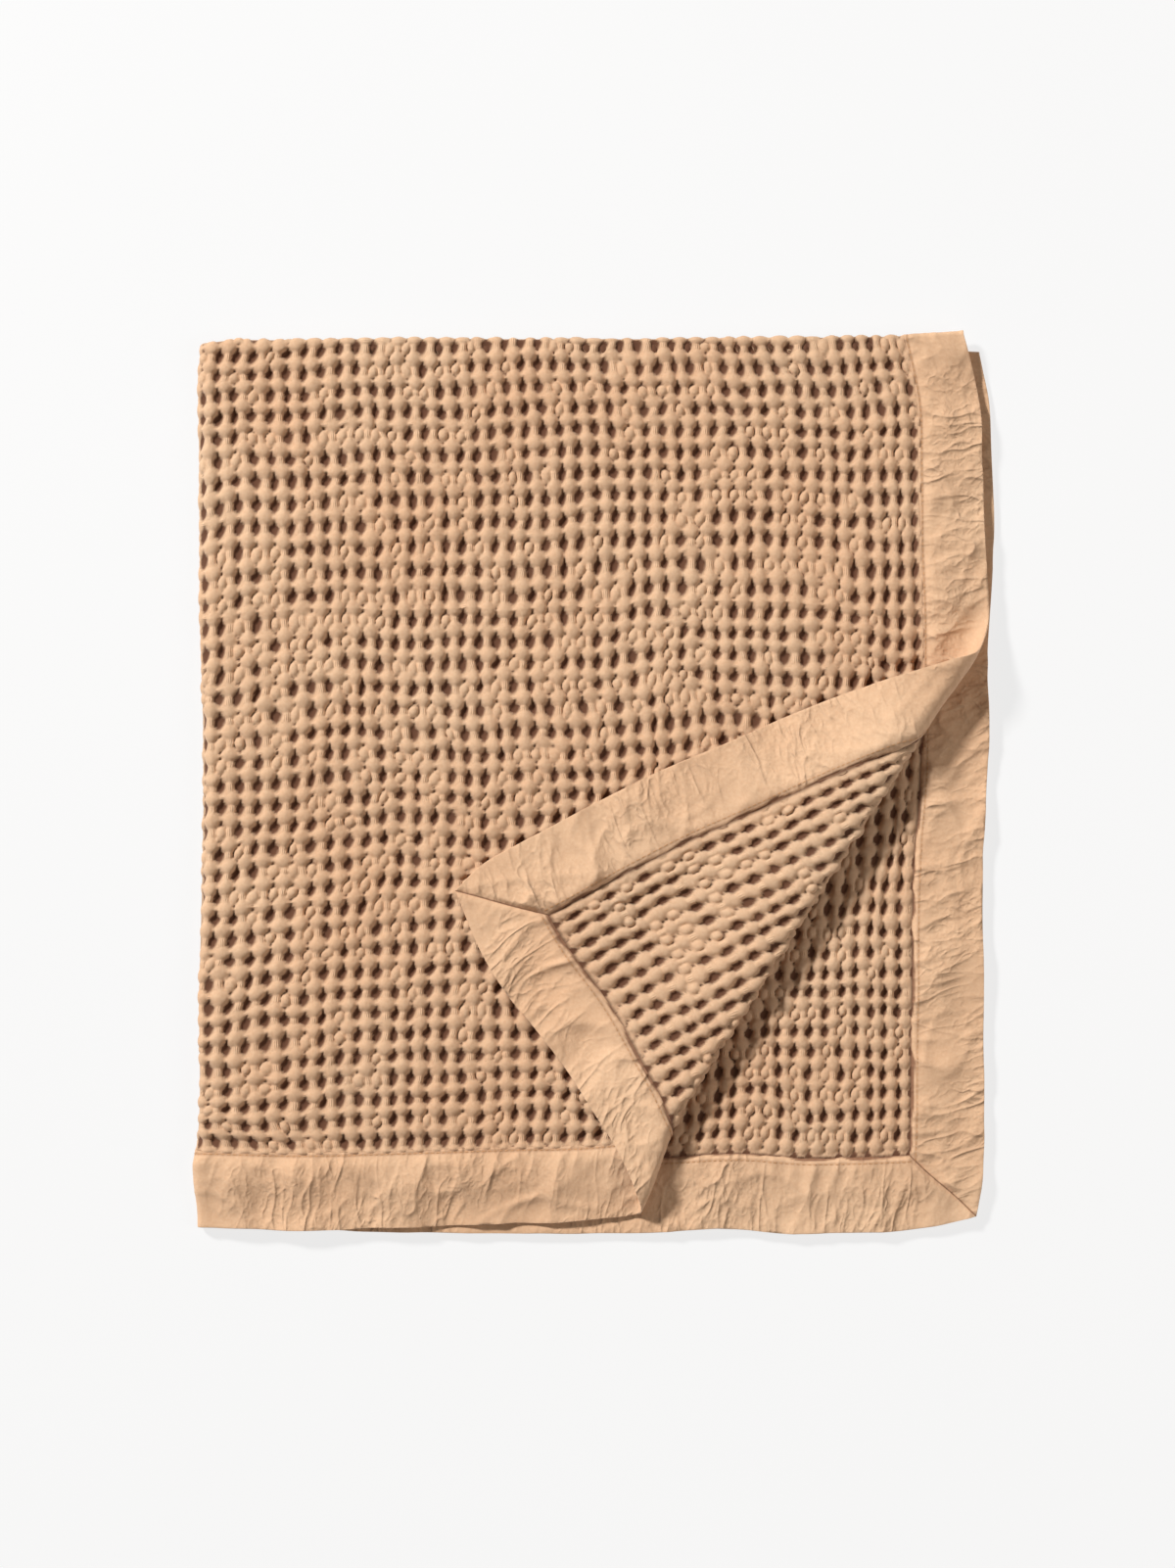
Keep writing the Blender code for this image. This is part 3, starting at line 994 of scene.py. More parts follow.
@dataclass(frozen=True)
class WaffleFinish(ClothFinish):
    """Tan washed cotton in waffle weave."""

    slot: str = "waffle_cloth"
    colour: Colour = srgb(212, 163, 125)
    worn: Colour = srgb(234, 203, 169)
    # Painted shade in the deep cells and between the yarns.
    deep: Colour = srgb(88, 52, 35)
    roughness: float = 0.92
    sheen: float = 0.12
    pad_threads: tuple[float, float] = (17.0, 21.0)
    float_yarns: tuple[float, float] = (8.5, 14.0)
    weave_height: float = 0.00030
    yarn_height: float = 0.00055

    def make(self, groups: Groups) -> bpy.types.Material:
        """Build the material from the shared groups.

        Args:
            groups: the shared node groups.

        Returns:
            The material.
        """
        material, kit, shader, weave, relief = self.start(groups)
        masks = kit.add("ShaderNodeSeparateColor")
        kit.feed(masks.inputs[0], relief["Color"])
        upright, level, pad = masks.outputs
        warp, weft = self.pad_threads
        across, along = self.float_yarns
        plain = kit.use(groups.plain, {"Weave": weave, "Warp": warp, "Weft": weft})
        yarns = kit.use(groups.floats, {
            "Weave": weave, "Upright": upright, "Level": level,
            "Yarns across": across, "Yarns along": along,
        })
        pads = kit.math("MULTIPLY", plain, pad)
        ratio = self.weave_height / self.yarn_height
        kit.bump(shader, kit.math("MULTIPLY_ADD", pads, ratio, yarns), self.yarn_height)
        return material


@dataclass(frozen=True)
class BorderFinish(ClothFinish):
    """Tan washed cotton in plain weave, a little crumpled."""

    slot: str = "border_cloth"
    colour: Colour = srgb(212, 164, 126)
    worn: Colour = srgb(236, 203, 168)
    # Painted shade along the stitch lines, the mitres and under the folded edge.
    deep: Colour = srgb(112, 68, 46)
    roughness: float = 0.9
    sheen: float = 0.15
    threads: float = 2300.0
    crease_height: float = 0.0012
    thread_share: float = 0.06

    def make(self, groups: Groups) -> bpy.types.Material:
        """Build the material from the shared groups.

        Args:
            groups: the shared node groups.

        Returns:
            The material.
        """
        material, kit, shader, weave, _ = self.start(groups)
        plain = kit.use(
            groups.plain, {"Weave": weave, "Warp": self.threads, "Weft": self.threads},
        )
        creases = kit.use(groups.creases, {"Cloth": weave})
        height = kit.math("MULTIPLY_ADD", plain, self.thread_share, creases)
        kit.bump(shader, height, self.crease_height)
        return material


@dataclass(frozen=True)
class ThreadFinish:
    """Sewing thread, a shade yellower than the cloth."""

    colour: Colour = srgb(205, 154, 106)
    dark_share: float = 0.6
    roughness: float = 0.7
    twist: float = 2600.0
    twist_height: float = 0.0001

    def make(self) -> bpy.types.Material:
        """Build the material, with the thread's twist as fine stripes.

        Returns:
            The material.
        """
        material, kit, shader = start_material("sewing_thread")
        weave = kit.split(kit.add("ShaderNodeUVMap", uv_map="weave").outputs[0])
        slant = kit.math("ADD", weave[0], weave[1])
        ply = kit.math("SINE", kit.math("MULTIPLY", slant, self.twist))
        shade = kit.ramp(ply, gain=0.08, shift=0.12)
        dark = tuple(c * self.dark_share for c in self.colour[:3]) + (1.0,)
        kit.feed(shader.inputs["Base Color"], kit.mix(shade, self.colour, dark))
        kit.bump(shader, ply, self.twist_height)
        shader.inputs["Roughness"].default_value = self.roughness
        return material


@dataclass
class WaffleWeave:
    """The lattice of raised pads, yarn floats and deep cells.

    Widths inside a cell are shares of the cell, and heights inside it are
    shares of the whole relief, from its floor to its top.
    """

    fold: Fold
    columns: int = 43
    rows: int = 37
    top: float = 0.0028
    floor: float = -0.0042
    pad: tuple[float, float] = (0.580, 0.540)
    pad_power: float = 1.45
    upright: tuple[float, float] = (0.250, 0.58)
    upright_waist: float = 0.190
    level: tuple[float, float] = (0.095, 0.46)
    hole: tuple[float, float] = (0.290, 0.370)
    button: tuple[float, float] = (0.325, 0.350)
    button_share: float = 0.26
    dimple_share: float = 0.05
    lean_rise: float = 1.15
    slip: float = 0.221
    crease_droop: float = 0.009
    droop_reach: tuple[float, float] = (0.15, 0.12)
    lower_spread: float = 0.010
    spread_reach: float = 0.30
    seam_hold: float = 0.05
    bundle_reach: float = 0.30
    pad_blend: float = 0.10
    yarn_blend: float = 0.08
    # Painted shade in the deep cells (strength, start, run) and in the gaps between pads and
    # yarns.
    cell_shade: tuple[float, float, float] = (0.95, 0.44, 0.30)
    gap_shade: float = 0.24
    yarn_spread: float = 0.45
    steps_u: Sequence[float] = (
        0, 0.085, 0.16, 0.22, 0.275, 0.38, 0.5, 0.62, 0.725, 0.78, 0.84, 0.915,
    )
    steps_v: Sequence[float] = (
        0, 0.08, 0.145, 0.22, 0.31, 0.40, 0.5, 0.60, 0.69, 0.78, 0.855, 0.92,
    )

    @staticmethod
    def paced(part: Array, table: Sequence[tuple[float, float]]) -> Array:
        """Share of the length at a share of the cells.

        Args:
            part: share of the cells from the crease, 0 to 1.
            table: rows of share and closeness.

        Returns:
            The share of the length, 0 to 1.
        """
        marks = np.linspace(0.0, 1.0, 201)
        rows = np.array(table)
        pitch = np.interp(marks, rows[:, 0], rows[:, 1])
        steps = 0.5 * (pitch[1:] + pitch[:-1])
        run = np.concatenate(((0.0,), np.cumsum(steps)))
        return np.interp(part, marks, run / run[-1])

    def to_flat(self, cu: Array, cv: Array) -> tuple[Array, Array]:
        """Flat place of lattice coordinates.

        The cells are a little closer near the seams, and the lattice
        wanders as washed cloth does.

        Args:
            cu: cells from the left crease, negative in layers 1 and 2.
            cv: cells from the top crease, negative in layers 1 and 4.

        Returns:
            The flat u and v.
        """
        x, y = np.abs(cu) / self.columns, np.abs(cv) / self.rows
        under = smooth(cv / self.rows / 0.5)
        along_u, along_v = (
            self.paced(part, first) * (1 - under) + self.paced(part, second) * under
            for part, first, second in (
                (x, TOP_COLUMNS, SECOND_COLUMNS), (y, TOP_ROWS, SECOND_ROWS),
            )
        )
        u = np.sign(cu) * self.fold.panel_u * along_u
        v = np.sign(cv) * self.fold.panel_v * along_v
        sways = [np.zeros_like(u), np.zeros_like(v)]
        for axis, height, wave_u, wave_v, phase in SWAYS:
            turn = 2.0 * math.pi * (u / wave_u + v / wave_v + phase)
            sways[axis] = sways[axis] + height * np.sin(turn)
        low = smooth(-v / self.fold.panel_v * 1.6 - 0.5)
        spread = self.lower_spread * low * (1.0 - smooth(np.abs(u) / self.spread_reach))
        near_crease = 1.0 - smooth(np.abs(u) / self.droop_reach[0])
        droop = near_crease * smooth((1.0 - y) / self.droop_reach[1]) * (1.0 - under)
        slip_u, slip_v = (
            self.slip * (noise(cu, cv, seed) + 0.6 * noise(cu / 2.3, cv / 2.3, seed + 1) - 0.8)
            for seed in (11, 13)
        )
        slip_u = slip_u * self.fold.panel_u / self.columns
        slip_v = slip_v * self.fold.panel_v / self.rows
        inside = smooth((1.0 - x) / self.seam_hold) * smooth((1.0 - y) / self.seam_hold)
        u = u + inside * (sways[0] + spread + slip_u)
        v = v + inside * (sways[1] - self.crease_droop * droop + slip_v)
        return u, v

    def pads(self, cu: Array, cv: Array) -> Array:
        """Height of the plain woven pads, 0 to about 1.

        Args:
            cu: cells across.
            cv: cells along.

        Returns:
            The height, as a share of the weave's whole relief.
        """
        near_u, near_v = np.round(cu), np.round(cv)
        luck = partial(scatter, near_u, near_v)
        side, along = cu - near_u, cv - near_v
        spin = 0.34 * (luck(20) - 0.42)
        across = np.abs(side + spin * along) / self.pad[0]
        upward = np.abs(along - spin * side) / self.pad[1]
        wide = 0.92 + 0.15 * luck(22)
        reach = (across ** self.pad_power + upward ** self.pad_power) ** (1 / self.pad_power)
        tilt = 0.5 * (luck(27) - 0.5) * side + 0.5 * (luck(28) - 0.5) * along
        height = 0.88 + 0.14 * luck(23) + tilt
        worn = noise(near_u / 3.7, near_v / 3.7, 29)
        sunk = self.dimple_share + 0.35 * smooth((worn - 0.60) / 0.25)
        dent = np.where(luck(21) < sunk, 0.78, 1.0)
        return dome(reach / wide, broad=2.5, soft=0.85) * height * dent

    def bulge(self, cv: Array) -> Array:
        """How far a bundle of upright yarns opens between two level ties."""
        away = np.abs(cv - np.floor(cv) - 0.5)
        return np.cos(np.clip(away / self.bundle_reach, 0, 1) * math.pi / 2)

    def floats(self, cu: Array, cv: Array) -> tuple[Array, Array]:
        """Height of the yarns between pads: upright bundles, level ties.

        Args:
            cu: cells across.
            cv: cells along.

        Returns:
            The height of the bundles, and of the ties.
        """
        column, row = np.round(cu), np.floor(cv)
        luck = partial(scatter, column, row)
        bulge = self.bulge(cv)
        width = self.upright_waist + (self.upright[0] - self.upright_waist) * bulge
        lean = 0.10 * (luck(31) - 0.5)
        level = self.upright[1] - 0.16 + (0.20 + 0.14 * luck(30)) * bulge
        upright = dome(np.abs(cu - column + lean * bulge) / width)
        drop = np.abs(cv - np.round(cv)) / self.level[0]
        low = self.level[1] * (0.8 + 0.4 * scatter(np.floor(cu), np.round(cv), 32))
        return upright * level, low * dome(drop)

    def cells(self, cu: Array, cv: Array, lean: tuple[float, float]) -> tuple[Array, Array]:
        """Height inside the cells: the bowl's floor, and buttons popped up.

        Args:
            cu: cells across.
            cv: cells along.
            lean: the way the deepest part of each cell is shifted.

        Returns:
            The height of the floor, and of the buttons.
        """
        left, low = np.floor(cu), np.floor(cv)
        luck = partial(scatter, left, low)
        across, along = cu - left - 0.5, cv - low - 0.5
        spread = np.hypot(across / self.hole[0], along / self.hole[1])
        slope = -(across * lean[0] + 0.8 * along * lean[1])
        bowl = 0.12 * luck(26) - 0.04 + 0.16 * np.clip(spread, 0, 1.2) ** 2.0
        bowl = bowl + self.lean_rise * np.clip(slope - 0.03, 0.0, 0.30)
        crowd = 0.4 + 1.2 * noise(left / 4.1, low / 4.1, 33)
        popped = luck(24) < self.button_share * crowd
        shift_u, shift_v = 0.06 * luck(34) - 0.01, 0.06 * luck(35) - 0.01
        across, along = (across + shift_u) / self.button[0], (along + shift_v) / self.button[1]
        reach = np.hypot(across, along) / (0.88 + 0.22 * luck(25))
        button = dome(reach) * (0.74 + 0.16 * luck(36)) * popped
        return np.where(popped, 0.35 * bowl, bowl), button

    def relief(
        self, cu: Array, cv: Array, lean: tuple[float, float],
    ) -> tuple[Array, Array, Array]:
        """Height of the cloth's face over the lattice.

        Args:
            cu: cells across.
            cv: cells along.
            lean: the way the deepest part of each cell, and the painted shade with it, is
                shifted.

        Returns:
            The height above the cloth's middle, four masks for the finish
            (upright floats, level floats, pads, painted shade), and the yarn
            coordinates.
        """
        pads = self.pads(cu, cv)
        upright, across = self.floats(cu, cv)
        bowl, button = self.cells(cu, cv, lean)
        total = np.maximum.reduce((pads, upright, across, button, bowl))
        rank = np.maximum.reduce((upright, across, bowl))
        is_pad = smooth((np.maximum(pads, button) - rank) / self.pad_blend + 0.5)
        is_upright = (1.0 - is_pad) * smooth((upright - across) / self.yarn_blend + 0.5)
        is_upright = is_upright * smooth(upright * 4.0)
        is_level = (1.0 - is_pad) * smooth((across - upright) / self.yarn_blend + 0.5)
        is_level = is_level * smooth(across * 5.0)
        # Painted shade: darker the deeper the face lies, and in the gaps between pads and
        # yarns.
        dark, start, run = self.cell_shade
        painted_shade = dark * smooth((start - total) / run)
        painted_shade = np.maximum(painted_shade, self.gap_shade * (1.0 - is_pad - is_upright - is_level))
        masks = np.stack((is_upright, is_level, is_pad, painted_shade), axis=-1)
        column = np.round(cu)
        curve = 1.0 + self.yarn_spread * (1.0 - self.bulge(cv))
        yarn = np.stack((column + (cu - column) * curve, cv), axis=-1)
        return self.floor + (self.top - self.floor) * total, masks, yarn

    @staticmethod
    def stations(start: int, stop: int, steps: Sequence[float]) -> Array:
        """Lattice coordinates of grid lines from cell start to cell stop."""
        cells = [cell + step for cell in range(start, stop) for step in steps]
        return np.array(cells + [float(stop)])

    @staticmethod
    def round_cells(cu: Array, cv: Array) -> tuple[Array, Array]:
        """Bend the grid lines inside each cell round its deep middle.

        Args:
            cu: cells across.
            cv: cells along.

        Returns:
            The bent cells across and along.
        """
        left, low = np.floor(cu), np.floor(cv)
        across = (cu - left - 0.5) * 2.0
        along = (cv - low - 0.5) * 2.0
        square = np.maximum(np.abs(across), np.abs(along))
        circle = np.maximum(np.hypot(across, along), 1e-9)
        power = 1.0 - smooth((square - 0.45) / 0.5)
        pull = np.where(square > 0.999, 1.0, (square / circle) ** power)
        return left + 0.5 + across * pull / 2.0, low + 0.5 + along * pull / 2.0


@dataclass(frozen=True)
class Stretch:
    """One stretch of the panel's woven face.

    Attributes:
        name: name of the piece.
        cells_u: first and last cell across.
        cells_v: first and last cell along.
        side: which face of the cloth.
        steps: grid lines in a cell, across and along.
        lean: the way the deepest part of each cell, and the painted shade with it, is shifted.
        chosen: tells from flat u and v which points are kept.
    """

    name: str
    cells_u: tuple[int, int]
    cells_v: tuple[int, int]
    side: Face
    steps: tuple[Sequence[float], Sequence[float]]
    lean: tuple[float, float] = (0.0, 0.0)
    chosen: Callable[[Array, Array], Array] | None = None


@dataclass
class WafflePanel:
    """The waffle weave middle of the throw."""

    fold: Fold
    weave: WaffleWeave
    finish: bpy.types.Material
    thick: float = 0.0040
    rim_height: float = 0.0003
    rim_run: float = 0.0018
    tuck_reach: float = 0.0033
    seam_run: float = 0.0036
    seam_shade: float = 0.9
    ply_height: float = 0.0046
    roll_reach: float = 0.004
    roll_overlap: float = 0.006
    covered_margin: float = 0.024
    ply_margin: float = 0.018
    swell_run: float = 0.020
    press_reach: tuple[float, float] = (0.024, 0.022)
    sink_reach: tuple[float, float] = (0.030, 0.022)
    sink_share: float = 0.7
    pressed: float = 0.62
    coarse: Sequence[float] = (0, 0.17, 0.30, 0.50, 0.70, 0.83)

    def face(self, stretch: Stretch) -> bpy.types.Object:
        """Make one stretch of the woven face.

        Args:
            stretch: what to make.

        Returns:
            The new piece.
        """
        lines_u = self.weave.stations(*stretch.cells_u, stretch.steps[0])
        lines_v = self.weave.stations(*stretch.cells_v, stretch.steps[1])
        inner = stretch.side is Face.INNER
        if inner:
            lines_u = lines_u[lines_u >= 0.5 - self.weave.columns]
            lines_v = lines_v[lines_v >= 0.5 - self.weave.rows]
        cu, cv = self.weave.round_cells(*np.meshgrid(lines_u, lines_v))
        height, masks, uv = self.weave.relief(cu, cv, stretch.lean)
        if inner:
            cu = np.clip(cu - 0.5, -self.weave.columns, self.weave.columns)
            cv = np.clip(cv - 0.5, -self.weave.rows, self.weave.rows)
        u, v = self.weave.to_flat(cu, cv)
        rim = np.minimum(self.fold.panel_u - np.abs(u), self.fold.panel_v - np.abs(v))
        inside = smooth(rim / self.rim_run)
        over_tuck = self.rim_height - 0.6 * np.maximum(rim - self.tuck_reach, 0.0)
        height = np.maximum(height, over_tuck)
        height = height * inside + self.rim_height * (1.0 - inside)
        height = height * self.flattened(u, v) * np.where(u > 0, self.pressed, 1.0)
        if inner:
            # Painted shade along the seam on the inner faces.
            seam = self.seam_shade * (1.0 - smooth(rim / self.seam_run))
            masks[..., 3] = np.maximum(masks[..., 3], seam)
            start, run = self.press_reach
            under = smooth((self.fold.past_line(u, v) + start) / run)
            height = height * np.where(v > 0, under, 1.0)
        swell = self.swell(u, v) * smooth(rim / self.swell_run) * smooth(-u / self.swell_run)
        middle = np.full_like(u, self.thick / 2)
        points = self.fold.lay(u, v, height * stretch.side.value, middle, swell)
        keep = None
        if stretch.chosen is not None:
            keep = cell_corners(stretch.chosen(u, v)).any(axis=-1)
        return surface(stretch.name, points, uv, masks, self.finish, stretch.side, keep)

    def on_top(self, u: Array, v: Array) -> Array:
        """Whether points of the upper face show, or nearly so."""
        before = self.fold.roll_arc(u, v)[0] < self.roll_reach + self.roll_overlap
        return before & ~self.fold.covered(u, v, self.covered_margin)

    @staticmethod
    def flattened(u: Array, v: Array) -> Array:
        """Share of the relief that is left near the two crease lines."""
        crease = np.minimum(np.abs(u), np.abs(v))
        return 0.5 + 0.5 * smooth((crease - 0.001) / 0.012)

    @staticmethod
    def swell(u: Array, v: Array) -> Array:
        """Soft rises and hollows of the washed cloth.

        Args:
            u: flat u.
            v: flat v.

        Returns:
            The height of the rises.
        """
        broad = noise(u / 0.058 + 3.0, v / 0.058, 41)
        small = noise(u / 0.027, v / 0.027, 42)
        return 0.0016 * broad + 0.0010 * small

    @staticmethod
    def ply_lines(half: float, take_up: float, count: int) -> Array:
        """Grid lines of the plain faces, closer round the crease.

        Args:
            half: half the width of the panel.
            take_up: cloth on either side of the crease that goes round it.
            count: lines that are evenly spread.

        Returns:
            The places of the lines.
        """
        span = np.linspace(-half, half, count)
        around = np.linspace(-take_up, take_up, 7)
        return np.unique(np.round(np.concatenate((span, around)), 5))

    def plies(self) -> bpy.types.Object:
        """The plain hidden faces between the folded layers.

        Returns:
            The new piece, both faces in one object.
        """
        u, v = np.meshgrid(
            self.ply_lines(self.fold.panel_u, self.fold.left_take_up, 91),
            self.ply_lines(self.fold.panel_v, self.fold.top_take_up, 103),
        )
        arc, radius = self.fold.roll_arc(u, v)
        past = self.fold.past_line(u, v)
        layer_1, layer_2 = (u < 0) & (v < 0), (u < 0) & (v >= 0)
        layer_4 = (u > 0) & (v < 0)
        flush, thin, full = 0.0003, 0.0004, 0.0022
        deep = self.ply_height * self.flattened(u, v)
        start, run = self.sink_reach
        sinking = smooth((past + 0.5 * math.pi * radius + start) / run)
        sunk = deep * (1.0 - self.sink_share * sinking)
        near_roll = np.where(u < 0, deep, flush)
        under = np.where((past > -0.04) & (v >= 0), near_roll, full)
        pressed = np.where(layer_4, deep * self.pressed, thin)
        heights = {
            Face.OUTER: np.where(arc > 0, deep, np.where(v < 0, thin, under)),
            Face.INNER: np.where(layer_1, sunk, pressed),
        }
        on_top = (v < 0.012) & (arc < self.roll_reach)
        shown = {
            Face.OUTER: on_top & ~self.fold.covered(u, v, self.ply_margin),
            Face.INNER: (layer_1 & (arc > 0)) | (layer_2 & (past > -0.022)),
        }
        middle = np.full_like(u, self.thick / 2)
        masks = np.zeros(u.shape + (4,))
        # Full pad mask, and a light painted shade over the plies.
        masks[..., 2:] = (1.0, 0.25)
        uv = np.stack((u / 0.014, v / 0.018), axis=-1)
        joined = []
        for side, seen in shown.items():
            points = self.fold.lay(u, v, heights[side] * side.value, middle, np.zeros_like(u))
            hidden = ~cell_corners(seen).all(axis=-1)
            joined.append(surface("waffle_plies", points, uv, masks, self.finish, side, hidden))
        return join("waffle_panel_plies", joined)

    def build(self) -> list[bpy.types.Object]:
        """Returns:
            The pieces, the hidden plies last.
        """
        fine, plain = (self.weave.steps_u, self.weave.steps_v), (self.coarse, self.coarse)
        last_u, last_v = self.weave.columns, self.weave.rows
        cuts = (("c", -last_v, -25), ("b", -25, -12), ("a", -12, 1))
        stretches = [
            Stretch(
                f"waffle_top_layer_{letter}", (-last_u, 1), (low, high),
                Face.OUTER, fine, (0.7, 0.7), self.on_top,
            )
            for letter, low, high in cuts
        ]
        stretches += [
            Stretch(
                "waffle_turned_back", (-last_u, -8), (-last_v, -10),
                Face.INNER, fine, (-0.9, -0.4),
                lambda u, v: self.fold.roll_arc(u, v)[0] > -0.002,
            ),
            Stretch(
                "waffle_second_layer", (-last_u, -8), (10, last_v + 1),
                Face.INNER, fine, (0.7, -0.7),
                lambda u, v: self.fold.past_line(u, v) > -0.030,
            ),
            Stretch("waffle_underside", (1, last_u), (-last_v, 1), Face.OUTER, plain),
        ]
        others = [self.face(stretch) for stretch in stretches]
        plies = self.plies()
        for part in (*others, plies):
            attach(part, "root")
        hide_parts("waffle_panel")
        return [*others, plies]


def join(name: str, items: Sequence[bpy.types.Object]) -> bpy.types.Object:
    """Make one object of several.

    Args:
        name: name of the joined object.
        items: the objects, the first of which is kept.

    Returns:
        The joined object.
    """
    for item in bpy.context.scene.objects:
        item.select_set(item in items)
    bpy.context.view_layer.objects.active = items[0]
    bpy.ops.object.join()
    items[0].name = name
    items[0].data.name = name
    return items[0]


# Pressed-in creases of the border strips: height at the seam; share of it that
# is left farther out, with the start and run of the fall; waves along and out;
# share of out added to along, and of along to out; share of the strip's wander;
# what is added to the strip's seed; sharpness.
CREASES = (
    (0.0036, (0.40, 0.004, 0.040), (0.052, 0.15), (0.0, 0.0), 1.0, 3, 5.0),
    (0.0022, (0.10, 0.004, 0.040), (0.019, 0.07), (0.0, 0.0), 1.0, 2, 2.5),
    (0.0015, (1.00, 0.004, 0.040), (0.055, 0.040), (-0.9, 0.5), 0.0, 4, 5.0),
    (0.0014, (1.00, 0.004, 0.040), (0.061, 0.045), (1.2, -0.6), 0.0, 8, 5.0),
    (0.0008, (0.00, 0.003, 0.014), (0.0085, 0.06), (0.0, 0.0), 0.3, 6, 2.0),
)


@dataclass
class BorderStrip:
    """One plain weave border strip, folded over with its hem."""

    name: str
    node: str
    fold: Fold
    finish: bpy.types.Material
    along_v: bool
    side: float
    low_step: float
    high_step: float
    seed: int
    thick: float = 0.0016
    edge_thick: float = 0.0002
    seam_lift: float = 0.0012
    tuck: float = 0.0030
    front_line: float = 0.0004
    back_line: float = 0.0044
    front_fold: float = -0.0026
    back_fold: float = 0.0002
    front_raise: float = 0.0004
    back_lip: float = 0.0006
    fold_round: tuple[float, float] = (0.0009, 0.0012)
    mitre_thin: tuple[float, float] = (0.05, 0.0012)
    mitre_reach: float = 0.060
    hem_wave: float = 0.0016
    groove: tuple[float, float] = (0.00045, 0.0010)
    line_shade: tuple[float, float] = (0.45, 0.0012)
    mitre_shade: tuple[float, float] = (0.9, 0.0006)
    fold_shade: tuple[float, float] = (0.8, 0.0010)
    stitch_pitch: float = 0.0045
    stitch_length: float = 0.0033
    stitch_width: float = 0.00032
    stitch_lift: float = 0.00022
    stitch_tilt: float = 0.00025
    corner_gap: float = 0.003
    face_cells: int = 33

    @property
    def panel_end(self) -> float:
        """Half length of the panel's edge that the strip runs along."""
        return self.fold.panel_v if self.along_v else self.fold.panel_u

    @property
    def panel_edge(self) -> float:
        """Distance of the seam from the cloth's centre line."""
        return self.fold.panel_u if self.along_v else self.fold.panel_v

    def stations(self) -> Array:
        """Places along the strip, closer where it shows.

        Returns:
            The distances from the crease, in order.
        """
        take_up = self.fold.top_take_up if self.along_v else self.fold.left_take_up
        end = self.panel_end + self.fold.border
        low = np.linspace(-end, -take_up, int((end - take_up) / self.low_step))
        around = np.linspace(-take_up, take_up, 13)
        high = np.linspace(take_up, end, int((end - take_up) / self.high_step))
        mitre = np.array((0.0013, 0.0006))
        low = np.concatenate((low[:1], -end + mitre[::-1], low[1:]))
        high = np.concatenate((high[:-1], end - mitre, high[-1:]))
        return np.concatenate((low[:-1], around, high[1:]))

    def section(self) -> tuple[Array, Array]:
        """Round of the strip's cut: distance out from the seam, and side.

        Returns:
            How far out each point lies, and where it is between the inner
            face at -1 and the outer face at 1.
        """
        near = np.array((-0.0030, -0.0026, -0.0021, -0.0016, -0.0008, 0.0002, 0.0012, 0.0024))
        far = np.linspace(0.0036, self.fold.border - 0.0006, self.face_cells - len(near))
        out = np.concatenate((near, far))
        hem = self.fold.border + 0.0004 * np.array((0.0, 0.6, 1.0, 0.6, 0.0)) - 0.0004
        hem_side = np.array((0.92, 0.55, 0.0, -0.55, -0.92))
        outs = np.concatenate((out, hem, out[::-1]))
        sides = np.concatenate((np.ones(len(out)), hem_side, -np.ones(len(out))))
        return outs, sides

    def crumple(self, along: Array, out: Array) -> Array:
        """Wrinkles of the washed strip, all upwards.

        Args:
            along: distance along the strip.
            out: distance out from the seam.

        Returns:
            The height of the wrinkles.
        """
        wander = 0.022 * (noise(along / 0.06, out / 0.03, self.seed + 1) - 0.5)
        height = 0.0012 * noise(along / 0.023, out / 0.020, self.seed + 5)
        for tall, (kept, start, run), waves, slants, share, draw, sharp in CREASES:
            first = (along + slants[0] * out + share * wander) / waves[0]
            second = (out + slants[1] * along) / waves[1]
            ridge = crease_lines(first, second, self.seed + draw, sharp)
            near = 1.0 - smooth((out - start) / run)
            height = height + tall * ridge * (kept + (1.0 - kept) * near)
        return height * smooth((out + 0.001) / 0.004)

    def showing(self, u: Array, v: Array) -> Array:
        """How free the strip is to crumple: 1 where nothing lies on it.

        Args:
            u: flat u.
            v: flat v.

        Returns:
            The share of the wrinkles that is left.
        """
        layer, x, y = self.fold.plan(u, v)
        past = self.fold.roll_frame(x, y)[0]
        second = 0.2 + 0.8 * smooth((past + 0.010) / 0.030)
        return np.where(layer == 1, 1.0, np.where(layer == 2, second, 0.2))

    def flat(self, along: Array, out: Array) -> tuple[Array, Array]:
        """Flat u and v of a place on the strip."""
        across = self.side * (self.panel_edge + out)
        return (across, along) if self.along_v else (along, across)

    def middle(self, out: Array) -> Array:
        """Height of the strip's middle above its bed."""
        return self.thick / 2 + self.seam_lift * (1.0 - smooth(out / 0.026))

    def stitch_line(self, side: Face) -> float:
        """How far out from the seam the stitches run on a face."""
        return self.front_line if side is Face.OUTER else self.back_line

    def past_fold(self, along: Array, out: Array) -> tuple[Array, Array]:
        """How far a place lies past the strip's wandering folded edge.

        Args:
            along: distance along the strip.
            out: distance out from the seam.

        Returns:
            The distance on the outer face, and on the inner face.
        """
        broad = noise(along / 0.016, along * 0.0, self.seed + 9) - 0.5
        fine = noise(along / 0.006, along * 0.0, self.seed + 10) - 0.5
        wave = 0.0036 * broad + 0.0012 * fine
        return out - self.front_fold - 0.5 * wave, out - self.back_fold - wave

